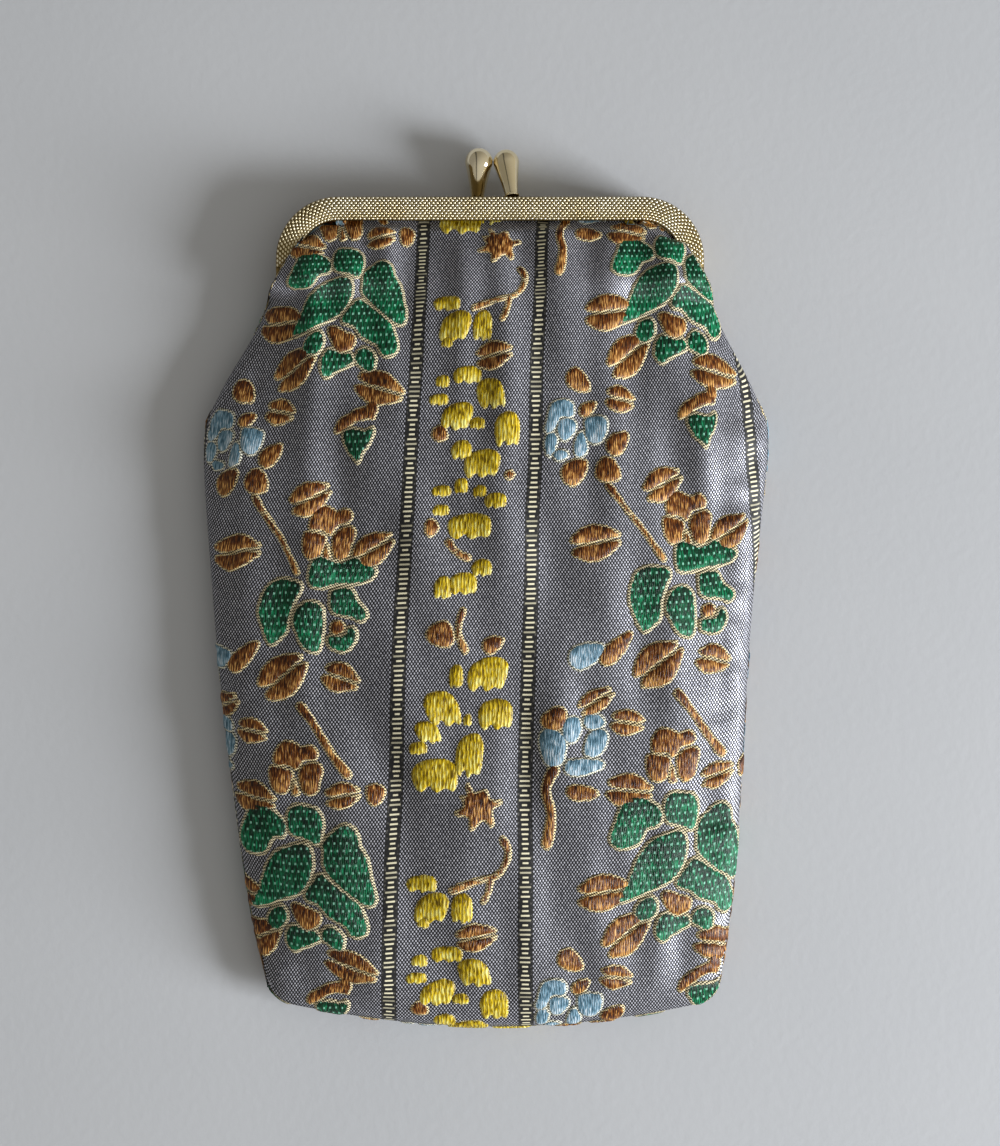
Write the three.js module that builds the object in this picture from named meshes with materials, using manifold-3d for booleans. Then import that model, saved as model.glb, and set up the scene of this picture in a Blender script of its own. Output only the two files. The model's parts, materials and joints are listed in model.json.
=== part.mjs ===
// Kiss lock coin purse: a tall brocade pouch in a hinged metal frame, lying closed on its back.
// Millimetres. X runs across the purse, Y from the sewn bottom to the clasp, Z up from the table.
// The front half of the frame swings about the rivets through the ears at its arms' ends.

import * as THREE from "three";
import { mergeVertices } from "three/addons/utils/BufferGeometryUtils.js";
import Module from "manifold-3d";

// Metal frame
const frameWidth = 85.4; // across the outsides of the two arms
const hingeBelowTop = 17.5; // from the top of the frame down to the rivets
const cornerRadius = 12.4; // of the frame's outline
const bandWidth = 4.9; // of the embossed face
const sheet = 0.6; // thickness of the pressed metal
const edgeRadius = 1.2; // between the face and the outer wall
const faceCrown = 0.3; // how far the face is domed
const halvesGap = 0.3; // between the two closed halves
const tableGap = 0.25; // under the rear half

// Hinge
const earRadius = 3;
const earGap = 0.3; // between the ears, and from an ear to the other half's channel
const joggleLength = 1.4; // of the step that brings the rear ear inboard
const pinRadius = 0.8;
const pinClearance = 0.2;
const rivetHeadRadius = 1.6;
const rivetHeadHeight = 0.7;
const rivetHeadGap = 0.15;

// Clasp knobs
const knobHeadRadius = 2.65;
const knobStemRadius = 1.4;
const knobHeight = 9.9; // from the frame to the tip
const knobFootRadius = 1.7;
const knobFootThickness = 0.5;
const knobSeatGap = 0.1; // the foot over the frame
const tenonRadius = 0.6;
const tenonClearance = 0.15;
const tenonHeadRadius = 0.95;
const tenonHeadHeight = 0.4;
const headsGap = 0.3; // between the two closed heads
const frontKnobX = 4.4; // of the feet, from the middle of the frame
const rearKnobX = -2.6;
const kissX = 0.6; // where the two heads meet

// Cloth, lining and paper cord, stacked in each channel
const clothThickness = 0.5;
const liningThickness = 0.4;
const paperThickness = 1;
const paperWidth = 2.9;
const layerGap = 0.3; // between any two layers, and from them to the metal

// Pouch
const pouchLength = 148.6; // from the hinge down to the lowest point of the bottom
const pouchThickness = 15;
const bottomWidth = 87.2; // between the two bottom corners
const bottomBow = 5.4; // how far the bottom's middle hangs below its corners
const bottomCorner = 4; // radius
const bottomRise = 28; // distance in which the pouch swells from the bottom seam
const pressedFlat = 1.7; // how much further than the table the back would swell
const hingeWidth = 86.4; // across the cloth at the hinge
const lapWidth = 76; // across the cloth where it starts to lap over the arms
const lapHeight = 9; // of that place above the hinge
const hipWidth = 113.2; // across the widest place
const hipBelowHinge = 32;
const waistWidth = 103.2; // two thirds of the way down
const waistBelowHinge = 94;
// Between two of these places the side bulges through a point at this share of the way, [width, height].
const lowerBulgeShares = [0.6, 0.46];
const upperBulgeShares = [0.56, 0.54];
const hipTurnShares = [0.2, 0.31];
const neckTurnShares = [0.72, 0.72];
const mouthNarrowing = 4; // how much less than at the lap the half width is at the frame's top
const swellRound = 2.2; // exponents of the way that the pouch swells from its seams
const swellRise = 0.6;
const fullnessShares = [
  [1, 0.84], // [share of the length below the hinge, share of the full thickness]
  [0.7, 0.93],
  [0.35, 1],
  [0.1, 0.93],
  [0, 0.84],
];
const lapFullness = 0.74;
const topFullness = 0.5;
const liftOffLow = 6; // the back leaves the table between this place below the hinge
const liftOffHigh = 7.6; // and this one above it
const liningTuck = 14; // distance below the hinge in which the lining draws in between the arms

// Woven stripes of the front
const stripeWidth = 3;
const weaveRelief = 0.3;
const leftStripeTop = 13.2; // middle of the left stripe, left of the purse's middle, at the frame
const leftStripeBottom = 20.2; // and at the bottom seam
const rightStripeTop = 10.6;
const rightStripeBottom = 7.2;
const stripeSeamGap = 1; // between a stripe and the seam or the frame

// Woven flowers of the front. The brocade repeats: a column between two stripes, then a wide panel.
const columnWidth = 27;
const panelWidth = 50;
const floralRepeat = 115; // along the cloth
const weftClimb = 0.036; // how far the weft rises to the right, per millimetre
const topGather = 0.82; // width of the gathered panel at the frame, over its flat width
const bottomGather = 0.96;
const flowerSeamGap = 3.5; // between a flower and the seam
const flowerFrameGap = 1; // and the frame
const heartRelief = 0.5; // of a flower's middle over the cloth
const drawingUnit = 1; // of flat cloth, to one unit of the drawing of a repeat that follows
// Across counts from the middle of the column, along from the hinge, and a turn is in degrees.
const panelFlowers = [
  { kind: "peony", across: 45.6, along: -5, width: 27, height: 26 },
  { kind: "peony", across: 45.6, along: -63, width: 24, height: 19 },
  { kind: "bellflower", across: 22.6, along: -30, width: 13, height: 11 },
  { kind: "bellflower", across: 22.9, along: -93, width: 12, height: 12 },
  { kind: "rose", across: 47.2, along: -48.8, width: 9.5, height: 8 },
  { kind: "rose", across: 43.4, along: -95.7, width: 11, height: 11 },
  { kind: "bud", across: 51.4, along: -29.5, width: 7, height: 9 },
  { kind: "leaf", across: 30.2, along: -7, width: 12.5, height: 6.5, turn: 5 },
  { kind: "leaf", across: 35, along: -15.8, width: 12.5, height: 6.5, turn: 30 },
  { kind: "leaf", across: 55.5, along: -20.5, width: 12, height: 5.5, turn: -20 },
  { kind: "leaf", across: 42, along: -41.7, width: 11, height: 5, turn: 25 },
  { kind: "leaf", across: 27, along: -52.6, width: 12, height: 6.5, turn: 10 },
  { kind: "leaf", across: 56.7, along: -52.2, width: 10.5, height: 5.5, turn: 20 },
  { kind: "leaf", across: 40, along: -77.2, width: 14, height: 6.5, turn: 38 },
];
const columnFlowers = [
  { kind: "rose", across: 4.2, along: 6.7, width: 9, height: 9 },
  { kind: "blossom", across: -5.3, along: -9, width: 7, height: 6 },
  { kind: "rose", across: 3.8, along: -14.8, width: 9, height: 5.5 },
  { kind: "blossom", across: -4, along: -26.5, width: 7, height: 6 },
  { kind: "blossom", across: 3.3, along: -22.5, width: 6.5, height: 6 },
  { kind: "blossom", across: 7, along: -31, width: 6, height: 6.5 },
  { kind: "blossom", across: 1, along: -36.3, width: 8, height: 5.5 },
  { kind: "blossom", across: 0, along: -48.5, width: 9.5, height: 5.5 },
  { kind: "blossom", across: -1.5, along: -59.8, width: 7.5, height: 5 },
  { kind: "leaf", across: -4.9, along: -69.4, width: 7, height: 4.5, turn: 50 },
  { kind: "blossom", across: 5, along: -77.5, width: 8.5, height: 6.5 },
  { kind: "blossom", across: -4.2, along: -84.4, width: 7.5, height: 6.5 },
  { kind: "blossom", across: 7, along: -86.5, width: 7, height: 6 },
  { kind: "blossom", across: -6.6, along: -98, width: 8, height: 6 },
];

// How finely the curves are faceted
const bowCornerSteps = 6;
const frontColumns = 16;
const backColumns = 14;
const pouchRows = 20;
const liningColumns = 12;
const roundSegments = 16;
const stripeSteps = 20;
const knobCapSteps = 6;
const curveSamples = 240;
const scallopSteps = 3; // points to a petal's edge
const leafSteps = 3;

// Places that follow from the sizes. Y is first counted from the hinge and shifted at the end.
const channelRoom = clothThickness + liningThickness + paperThickness + 4 * layerGap;
const channelDepth = 2 * sheet + channelRoom;
const middleZ = tableGap + faceCrown + channelDepth + halvesGap / 2;
const wallLow = halvesGap / 2; // the inner wall's side nearest the other half, from the middle plane
const wallHigh = wallLow + channelDepth; // the face, before its crown
const halfWidth = frameWidth / 2;
const armFoot = earRadius + earGap; // where the channels end, above the hinge
const frontEarX = halfWidth - sheet; // inboard side of the front ear
const rearEarX = frontEarX - earGap - sheet; // inboard side of the rear ear
const paperLow = wallLow + sheet + layerGap;
const liningLow = paperLow + paperThickness + layerGap;
const clothLow = liningLow + liningThickness + layerGap;
const clothHigh = clothLow + clothThickness;
const mouthTop = hingeBelowTop - bandWidth - layerGap; // highest cloth outside the channel
const lapClear = wallHigh + faceCrown + layerGap; // the lap's underside, from the middle plane
const earClear = earRadius + layerGap;

const wasm = await Module();
wasm.setup();

// A closed three.js geometry as a solid that can be joined and cut.
function solidOf(geometry) {
  const bare = new THREE.BufferGeometry();
  bare.setAttribute("position", geometry.getAttribute("position"));
  if (geometry.index) bare.setIndex(geometry.index);
  const merged = mergeVertices(bare, 1e-4);
  return new wasm.Manifold(
    new wasm.Mesh({
      numProp: 3,
      vertProperties: merged.attributes.position.array,
      triVerts: new Uint32Array(merged.index.array),
    }),
  );
}

// The largest body of a solid, without the slivers that a cut can leave.
function mainBody(solid) {
  const bodies = solid.decompose();
  return bodies.reduce((a, b) => (b.volume() > a.volume() ? b : a));
}

// Gives a solid one colour, which stays with its own surface when solids are joined.
function dyed(solid, colour) {
  return solid.setProperties(3, (silk) => {
    [silk[0], silk[1], silk[2]] = colour.toArray();
  });
}

function meshOf(name, solid, material) {
  const { vertProperties, triVerts, numProp } = mainBody(solid).getMesh();
  const vertices = new THREE.InterleavedBuffer(vertProperties, numProp);
  const geometry = new THREE.BufferGeometry();
  geometry.setAttribute("position", new THREE.InterleavedBufferAttribute(vertices, 3, 0));
  if (material.vertexColors) {
    geometry.setAttribute("color", new THREE.InterleavedBufferAttribute(vertices, 3, 3));
  }
  geometry.setIndex(new THREE.BufferAttribute(triVerts, 1));
  const flat = geometry.toNonIndexed();
  flat.computeVertexNormals();
  const mesh = new THREE.Mesh(flat, material);
  mesh.name = name;
  return mesh;
}

function box(low, high) {
  const size = high.map((v, i) => v - low[i]);
  const geometry = new THREE.BoxGeometry(...size);
  geometry.translate(...low.map((v, i) => v + size[i] / 2));
  return solidOf(geometry);
}

const mix = THREE.MathUtils.lerp;
const ramp = THREE.MathUtils.smoothstep; // (value, start, end)

// The outer edge of a frame half: up the left arm, over the top and down the right arm.
class BowPath extends THREE.Curve {
  constructor(foot) {
    super();
    this.foot = foot;
    this.spans = 2 * bowCornerSteps + 3;
  }
  getUtoTmapping(u) {
    return u;
  }
  getPoint(t) {
    const shoulder = hingeBelowTop - cornerRadius;
    const topHalf = halfWidth - cornerRadius;
    const at = t * this.spans;
    const turn = bowCornerSteps;
    if (at < 1) return new THREE.Vector3(-halfWidth, mix(this.foot, shoulder, at), middleZ);
    if (at > this.spans - 1) {
      const down = at - this.spans + 1;
      return new THREE.Vector3(halfWidth, mix(shoulder, this.foot, down), middleZ);
    }
    if (at > turn + 1 && at < turn + 2) {
      return new THREE.Vector3(mix(-topHalf, topHalf, at - turn - 1), hingeBelowTop, middleZ);
    }
    const left = at <= turn + 1;
    const angle = ((left ? at - 1 : at - turn - 2) / turn) * (Math.PI / 2);
    const across = left ? Math.cos(angle) : Math.sin(angle);
    const up = left ? Math.sin(angle) : Math.cos(angle);
    const x = topHalf + cornerRadius * across;
    return new THREE.Vector3(left ? -x : x, shoulder + cornerRadius * up, middleZ);
  }
}

// Sweeps a section along the bow. Its points are [outward from the edge, away from the middle plane].
function sweepBow(section, foot, side = 1) {
  const shape = new THREE.Shape(section.map(([out, up]) => new THREE.Vector2(-side * up, out)));
  const extrudePath = new BowPath(foot);
  const settings = { steps: extrudePath.spans, extrudePath, bevelEnabled: false };
  return solidOf(new THREE.ExtrudeGeometry(shape, settings));
}

function sweepStrip(outFrom, outTo, upFrom, upTo, foot, side) {
  const corners = [
    [outFrom, upFrom],
    [outTo, upFrom],
    [outTo, upTo],
    [outFrom, upTo],
  ];
  return sweepBow(corners, foot, side);
}

// The pressed channel: a domed face, a rounded outer edge, a wall and a flat inner leaf.
const channelSection = [
  [-bandWidth, wallLow],
  [0, wallLow],
  [0, wallHigh - edgeRadius],
  [-edgeRadius * (1 - Math.cos(Math.PI / 6)), wallHigh - edgeRadius / 2],
  [-edgeRadius * (1 - Math.cos(Math.PI / 3)), wallHigh - edgeRadius * (1 - Math.sin(Math.PI / 3))],
  [-edgeRadius, wallHigh + faceCrown / 3],
  [-bandWidth / 2, wallHigh + faceCrown],
  [-bandWidth * 0.8, wallHigh + faceCrown * 0.7],
  [-bandWidth, wallHigh],
  [-bandWidth, wallHigh - sheet],
  [-edgeRadius, wallHigh - sheet],
  [-sheet, wallHigh - edgeRadius],
  [-sheet, wallLow + sheet],
  [-bandWidth, wallLow + sheet],
];

// An ear lies in a plane of constant x: a tab from the arm's wall with a round end about the rivet.
function ear(innerX, outerX, side, handed) {
  const outline = new THREE.Shape();
  const reach = armFoot + joggleLength;
  const start = Math.asin(wallLow / earRadius);
  outline.moveTo(reach, wallLow);
  outline.lineTo(earRadius * Math.cos(start), wallLow);
  outline.absarc(0, 0, earRadius, start, Math.PI / 2, true);
  outline.lineTo(reach, earRadius);
  outline.closePath();
  const hole = new THREE.Path();
  hole.absarc(0, 0, pinRadius + pinClearance, 0, 2 * Math.PI, false);
  outline.holes.push(hole);
  const plate = new THREE.ExtrudeGeometry(outline, {
    depth: outerX - innerX,
    bevelEnabled: false,
    curveSegments: roundSegments,
  });
  const toSide = new THREE.Matrix4().makeBasis(
    new THREE.Vector3(0, 1, 0),
    new THREE.Vector3(0, 0, 1),
    new THREE.Vector3(1, 0, 0),
  );
  plate.applyMatrix4(toSide);
  plate.translate(innerX, 0, 0);
  let solid = solidOf(plate);
  if (side < 0) solid = solid.mirror([0, 0, 1]);
  if (handed < 0) solid = solid.mirror([1, 0, 0]);
  return solid.translate([0, 0, middleZ]);
}

// A round piece on the Y axis, from its profile of [radius, height].
function turned(profile) {
  const points = profile.map(([r, y]) => new THREE.Vector2(r, y));
  return solidOf(new THREE.LatheGeometry(points, roundSegments));
}

function knobTenonHole(x, side) {
  const length = 4 * sheet;
  const hole = turned([
    [0, 0],
    [tenonRadius + tenonClearance, 0],
    [tenonRadius + tenonClearance, length],
    [0, length],
  ]);
  return hole.translate([x, hingeBelowTop - 2 * sheet, middleZ + side * channelMiddle]);
}

const channelMiddle = (wallLow + wallHigh) / 2;

function frameHalf(side, knobX) {
  let frame = sweepBow(channelSection, armFoot, side);
  for (const handed of [-1, 1]) {
    if (side > 0) {
      frame = frame.add(ear(frontEarX, halfWidth, side, handed));
    } else {
      const step = box(
        [rearEarX, armFoot, middleZ - earRadius],
        [halfWidth, armFoot + joggleLength, middleZ - wallLow],
      );
      frame = frame.add(ear(rearEarX, rearEarX + sheet, side, handed));
      frame = frame.add(handed > 0 ? step : step.mirror([1, 0, 0]));
    }
  }
  return frame.subtract(knobTenonHole(knobX, side));
}

// A rivet through both ears, with a low domed head on each side.
function hingeRivet(handed) {
  const inner = rearEarX - rivetHeadGap;
  const outer = halfWidth + rivetHeadGap;
  const rivet = turned([
    [0, inner - rivetHeadHeight],
    [rivetHeadRadius * 0.7, inner - rivetHeadHeight * 0.85],
    [rivetHeadRadius, inner - rivetHeadHeight * 0.4],
    [rivetHeadRadius, inner],
    [pinRadius, inner],
    [pinRadius, outer],
    [rivetHeadRadius, outer],
    [rivetHeadRadius, outer + rivetHeadHeight * 0.4],
    [rivetHeadRadius * 0.7, outer + rivetHeadHeight * 0.85],
    [0, outer + rivetHeadHeight],
  ]);
  return rivet.rotate([0, 0, -90 * handed]).translate([0, 0, middleZ]);
}

// A pear-shaped knob leaning from its foot towards the other knob's head, riveted through the frame.
function claspKnob(footX, headX, side) {
  const headY = knobHeight - knobHeadRadius;
  const lean = new THREE.Vector3(headX - footX, headY, -side * channelMiddle);
  const pear = [
    [0, 0],
    [knobStemRadius, 0],
    [knobStemRadius * 1.05, knobFootThickness],
    [knobHeadRadius * 0.72, lean.length() * 0.55],
  ];
  for (let i = 0; i <= knobCapSteps; i++) {
    const angle = mix(-Math.PI / 7, Math.PI / 2, i / knobCapSteps);
    const radius = i < knobCapSteps ? knobHeadRadius * Math.cos(angle) : 0;
    pear.push([radius, lean.length() + knobHeadRadius * Math.sin(angle)]);
  }
  const degrees = THREE.MathUtils.radToDeg;
  const tip = degrees(Math.asin(-side * channelMiddle / lean.length()));
  const tilt = degrees(-Math.atan2(headX - footX, headY));
  const body = turned(pear).rotate([tip, 0, 0]).rotate([0, 0, tilt]);
  const foot = turned([
    [0, 0],
    [knobFootRadius, 0],
    [knobFootRadius, knobFootThickness * 0.6],
    [knobStemRadius, knobFootThickness],
    [0, knobFootThickness],
  ]);
  const headLow = -(knobSeatGap + sheet + knobSeatGap);
  const tenon = turned([
    [0, headLow - tenonHeadHeight],
    [tenonHeadRadius, headLow - tenonHeadHeight * 0.6],
    [tenonHeadRadius, headLow],
    [tenonRadius, headLow],
    [tenonRadius, knobFootThickness],
    [0, knobFootThickness],
  ]);
  const above = box([-bandWidth, 0, -bandWidth], [bandWidth, 2 * knobHeight, bandWidth]);
  const seat = [footX, hingeBelowTop + knobSeatGap, middleZ + side * channelMiddle];
  return body.intersect(above).add(foot).add(tenon).translate(seat);
}

// Half the pouch's width at a height, through the places where it was measured.
const bottomPlace = [bottomWidth / 2, -pouchLength];
const waistPlace = [waistWidth / 2, -waistBelowHinge];
const hipPlace = [hipWidth / 2, -hipBelowHinge];
const hingePlace = [hingeWidth / 2, 0];
const lapPlace = [lapWidth / 2, lapHeight];

function between(from, to, shares) {
  return from.map((value, i) => mix(value, to[i], shares[i]));
}

const sidePlaces = [
  bottomPlace,
  between(bottomPlace, waistPlace, lowerBulgeShares),
  waistPlace,
  between(waistPlace, hipPlace, upperBulgeShares),
  hipPlace,
  between(hipPlace, hingePlace, hipTurnShares),
  between(hipPlace, hingePlace, neckTurnShares),
  hingePlace,
  lapPlace,
  [lapWidth / 2 - mouthNarrowing, hingeBelowTop],
];
const sideCurve = new THREE.SplineCurve(sidePlaces.map(([x, y]) => new THREE.Vector2(x, y)));
const sideSamples = sideCurve.getPoints(curveSamples);

function halfWidthAt(y) {
  for (let i = 1; i < sideSamples.length; i++) {
    const [a, b] = [sideSamples[i - 1], sideSamples[i]];
    if (y <= b.y) return mix(a.x, b.x, Math.max(0, (y - a.y) / (b.y - a.y)));
  }
  return sideSamples.at(-1).x;
}

// The sewn bottom: bowed in the middle and rounded at its corners.
function bottomAt(x) {
  const half = bottomWidth / 2;
  const into = Math.max(0, Math.abs(x) - half + bottomCorner);
  const bow = bottomBow * (x / half) ** 2;
  const corner = bottomCorner - Math.sqrt(Math.max(0, bottomCorner ** 2 - into ** 2));
  return -pouchLength + bow + corner;
}

// From 0 at a seam to 1 well inside it, as a soft bag swells.
function swell(share) {
  return (1 - Math.min(1, Math.abs(share)) ** swellRound) ** swellRise;
}

// How full the pouch is along its length: it thins towards the frame and towards the bottom.
const fullness = new THREE.SplineCurve([
  ...fullnessShares.map(([down, share]) => new THREE.Vector2(-pouchLength * down, share)),
  new THREE.Vector2(lapHeight, lapFullness),
  new THREE.Vector2(hingeBelowTop, topFullness),
]);
const fullnessSamples = fullness.getPoints(curveSamples);

function fullnessAt(y) {
  const next = fullnessSamples.findIndex((p) => p.x >= y);
  if (next <= 0) return fullnessSamples[0].y;
  const [a, b] = [fullnessSamples[next - 1], fullnessSamples[next]];
  return mix(a.y, b.y, (y - a.x) / (b.x - a.x));
}

// Height of the front cloth's edge over the middle plane: at the seam below the hinge, lapped over
// the ears and arms above it, and down at the channel under the top of the frame.
function lappedEdge(y) {
  const overArm = mix(wallLow, lapClear, ramp(y, -earRadius - 1, earRadius * 0.5));
  return mix(overArm, clothHigh, ramp(y, lapHeight - 1, mouthTop));
}

// The back cloth's edge turns away behind the ears instead.
function tuckedEdge(y) {
  return mix(wallLow, clothLow, ramp(y, -earRadius - 2, 0));
}

// A lining's edge has left the seam before it reaches the hinge.
function liningEdge(y) {
  return mix(wallLow, liningLow, ramp(y, -liningTuck, -earClear));
}

// A warped box: its columns run across the pouch, its rows along it and its depth through the cloth.
function pouchSheet(columns, place) {
  const geometry = new THREE.BoxGeometry(2, 2, 2, columns, pouchRows, 1);
  const position = geometry.getAttribute("position");
  for (let i = 0; i < position.count; i++) {
    const across = Math.sin((position.getX(i) * Math.PI) / 2);
    const along = (1 - Math.sin((position.getY(i) * Math.PI) / 2)) / 2;
    position.setXYZ(i, ...place(across, 1 - along, position.getZ(i) > 0));
  }
  return solidOf(geometry);
}

// A point of a layer's skin. Its inset is how far inside the pouch's outer face it lies.
function skinPoint(across, along, inset, layer) {
  const low = bottomAt((across * bottomWidth) / 2) + inset;
  const y = mix(low, mouthTop - inset, along);
  const inside = inset + layer.drawnIn * ramp(y, -liningTuck, -earClear);
  const rise = swell(across) * swell(1 - Math.min(1, (y - low) / bottomRise));
  const height = layer.side > 0 ? frontHeight(y, rise, inset, layer) : backHeight(y, rise, inset, layer);
  return [across * (halfWidthAt(y) - inside), y, height];
}

function frontHeight(y, rise, inset, layer) {
  const edge = middleZ + layer.edge(y);
  const crown = Math.max(pouchThickness * fullnessAt(y), middleZ + clothHigh) - inset;
  return mix(edge, Math.max(edge, crown), rise);
}

// The back swells past the table and is pressed flat by it.
function backHeight(y, rise, inset, layer) {
  const edge = middleZ - layer.edge(y);
  const liftOff = ramp(y, -liftOffLow, liftOffHigh);
  const floor = mix(0, middleZ - clothHigh, liftOff) + inset;
  return Math.max(floor, mix(edge, floor, rise * pressedFlat));
}

function pouchSkin(layer) {
  const outward = layer.side > 0;
  return pouchSheet(layer.columns, (across, along, top) =>
    skinPoint(across, along, layer.inset + (top === outward ? 0 : layer.thickness), layer),
  );
}

// Everything between a layer's outer face and the middle plane.
function pouchCore(layer) {
  const outward = layer.side > 0;
  return pouchSheet(layer.columns, (across, along, top) => {
    const [x, y, z] = skinPoint(across, along, layer.inset, layer);
    return [x, y, top === outward ? z : middleZ + (layer.side * wallLow) / 2];
  });
}

// The room that the metal needs: the bow with its band, and the ears with their rivets.
function metalRoom(side, height) {
  const out = 2 * layerGap + rivetHeadGap + rivetHeadHeight;
  const band = sweepStrip(-bandWidth - layerGap, out, -wallLow, height, armFoot - layerGap, side);
  const innerX = rearEarX - rivetHeadGap - rivetHeadHeight - layerGap;
  const hinge = box(
    [innerX, -earClear, middleZ - earClear],
    [halfWidth + out, armFoot + layerGap, middleZ + earClear],
  );
  return band.add(hinge).add(hinge.mirror([1, 0, 0]));
}

// One layer of one side: the swollen skin, and the margin that stands up into the channel.
function clothLayer(layer) {
  const { inset, thickness, low, side } = layer;
  const riserOut = -bandWidth - layerGap - inset;
  const marginFoot = armFoot + joggleLength + layerGap;
  const marginOut = -edgeRadius - layerGap / 2;
  const riser = sweepStrip(riserOut - thickness, riserOut, low, pouchThickness, marginFoot, side);
  const margin = sweepStrip(riserOut - thickness, marginOut, low, low + thickness, marginFoot, side);
  const room = metalRoom(side, layer.laps ? lapClear : pouchThickness);
  return pouchSkin(layer).add(riser.intersect(pouchCore(layer))).subtract(room).add(margin);
}

// The front's outer face over a point of the table.
function frontFace(x, y) {
  const across = x / halfWidthAt(y);
  const low = bottomAt((across * bottomWidth) / 2);
  const rise = swell(across) * swell(1 - Math.min(1, (y - low) / bottomRise));
  return frontHeight(y, rise, 0, { edge: lappedEdge });
}

const stripeEnds = [
  { top: -leftStripeTop, bottom: -leftStripeBottom },
  { top: rightStripeTop, bottom: rightStripeBottom },
];

// A ladder stripe stands a little proud of the cloth that it is woven into.
function ladderStripe(ends) {
  const strip = new THREE.BoxGeometry(stripeWidth, 1, 1, 1, stripeSteps, 1);
  const position = strip.getAttribute("position");
  for (let i = 0; i < position.count; i++) {
    const along = position.getY(i) + 0.5;
    const x = mix(ends.bottom, ends.top, along) + position.getX(i);
    const y = mix(bottomAt(ends.bottom) + stripeSeamGap, mouthTop - stripeSeamGap / 2, along);
    const above = position.getZ(i) > 0 ? weaveRelief : -clothThickness / 2;
    position.setXYZ(i, x, y, frontFace(x, y) + above);
  }
  return solidOf(strip);
}

// How far up the front a height lies, from the bottom seam (0) to the frame (1).
function shareUp(y) {
  return (y + pouchLength) / (mouthTop + pouchLength);
}

// Where a place of the flat cloth lies over the table. The stripes show how the cloth is gathered.
function overTable(across, along) {
  const y = along + weftClimb * across;
  const share = shareUp(y);
  const [left, right] = stripeEnds.map((ends) => mix(ends.bottom, ends.top, share));
  const beyond = Math.abs(across) - columnWidth / 2;
  if (beyond <= 0) return [mix(left, right, across / columnWidth + 0.5), y];
  const reach = beyond * mix(bottomGather, topGather, share);
  return [across > 0 ? right + reach : left - reach, y];
}

// A ring of round petals, as one outline about a middle.
function scalloped(petals, depth) {
  const points = [];
  const steps = petals * scallopSteps;
  for (let i = 0; i < steps; i++) {
    const angle = ((i + 0.5) / steps) * 2 * Math.PI;
    const reach = 1 - depth * (1 - Math.abs(Math.sin((angle * petals) / 2)));
    points.push([(reach * Math.cos(angle)) / 2, (reach * Math.sin(angle)) / 2]);
  }
  return points;
}

// A leaf, pointed at both ends: two arcs.
function pointedOval() {
  const points = [];
  for (let i = 0; i < 2 * leafSteps; i++) {
    const turn = (i / leafSteps) * Math.PI;
    points.push([Math.cos(turn) / 2, (Math.sign(Math.sin(turn)) * Math.sin(turn) ** 2) / 2]);
  }
  return points;
}

// A blossom seen from the side: a round cap that ends in hanging tips.
const cap = [
  [-0.5, -0.05],
  [-0.3, -0.5],
  [-0.08, -0.25],
  [0.2, -0.5],
  [0.5, -0.1],
  [0.35, 0.35],
  [0, 0.5],
  [-0.35, 0.35],
];

const silk = {
  ground: new THREE.Color(0x8b8a90),
  stripe: new THREE.Color(0xa8a284),
  green: new THREE.Color(0x10573a),
  orange: new THREE.Color(0xb9752f),
  yellow: new THREE.Color(0xc2b236),
  blue: new THREE.Color(0x86a8ba),
};

// Each kind is a list of fields: an outline in a square of one, its silk and its share of the size.
const kinds = {
  peony: [
    { outline: scalloped(6, 0.3), silk: silk.green, share: 1, relief: weaveRelief },
    { outline: scalloped(3, 0.2), silk: silk.orange, share: 0.3, relief: heartRelief },
  ],
  rose: [{ outline: scalloped(3, 0.25), silk: silk.orange, share: 1, relief: weaveRelief }],
  bellflower: [{ outline: scalloped(4, 0.3), silk: silk.blue, share: 1, relief: weaveRelief }],
  bud: [{ outline: pointedOval(), silk: silk.green, share: 1, relief: weaveRelief }],
  leaf: [{ outline: pointedOval(), silk: silk.orange, share: 1, relief: weaveRelief }],
  blossom: [{ outline: cap, silk: silk.yellow, share: 1, relief: weaveRelief }],
};

// A field of one silk about a place of the cloth, as a tall prism over the table.
function silkPrism(flower, field, middle) {
  const turn = THREE.MathUtils.degToRad(flower.turn ?? 0);
  const corners = field.outline.map(([x, y]) => {
    const corner = new THREE.Vector2(x * flower.width, y * flower.height);
    corner.multiplyScalar(field.share * drawingUnit).rotateAround(new THREE.Vector2(), turn);
    return new THREE.Vector2(...overTable(middle.x + corner.x, middle.y + corner.y));
  });
  const settings = { depth: 2 * pouchThickness, bevelEnabled: false };
  return solidOf(new THREE.ExtrudeGeometry(new THREE.Shape(corners), settings));
}

// A skin over the front cloth, rooted in it and of an even height, which raises what is cut from it.
function reliefSkin(height) {
  const cloth = { side: 1, edge: lappedEdge, drawnIn: 0 };
  return pouchSheet(frontColumns, (across, along, top) => {
    const [x, y, z] = skinPoint(across, along, 0, cloth);
    return [x, y, z + (top ? height : -clothThickness / 2)];
  });
}

// The part of the front that carries flowers: clear of the seam and of the frame.
function flowerRoom() {
  const side = [];
  const rows = pouchRows * 2;
  for (let i = 0; i <= rows; i++) {
    const y = mix(-pouchLength + bottomBow + bottomCorner, mouthTop - flowerFrameGap, i / rows);
    side.push([halfWidthAt(y) - flowerSeamGap, y]);
  }
  const hem = stripeEnds.map((ends) => [ends.bottom, bottomAt(ends.bottom) + flowerSeamGap]);
  const outline = [...hem, ...side, ...side.toReversed().map(([x, y]) => [-x, y])];
  const shape = new THREE.Shape(outline.map(([x, y]) => new THREE.Vector2(x, y)));
  return solidOf(new THREE.ExtrudeGeometry(shape, { depth: 2 * pouchThickness, bevelEnabled: false }));
}

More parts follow.
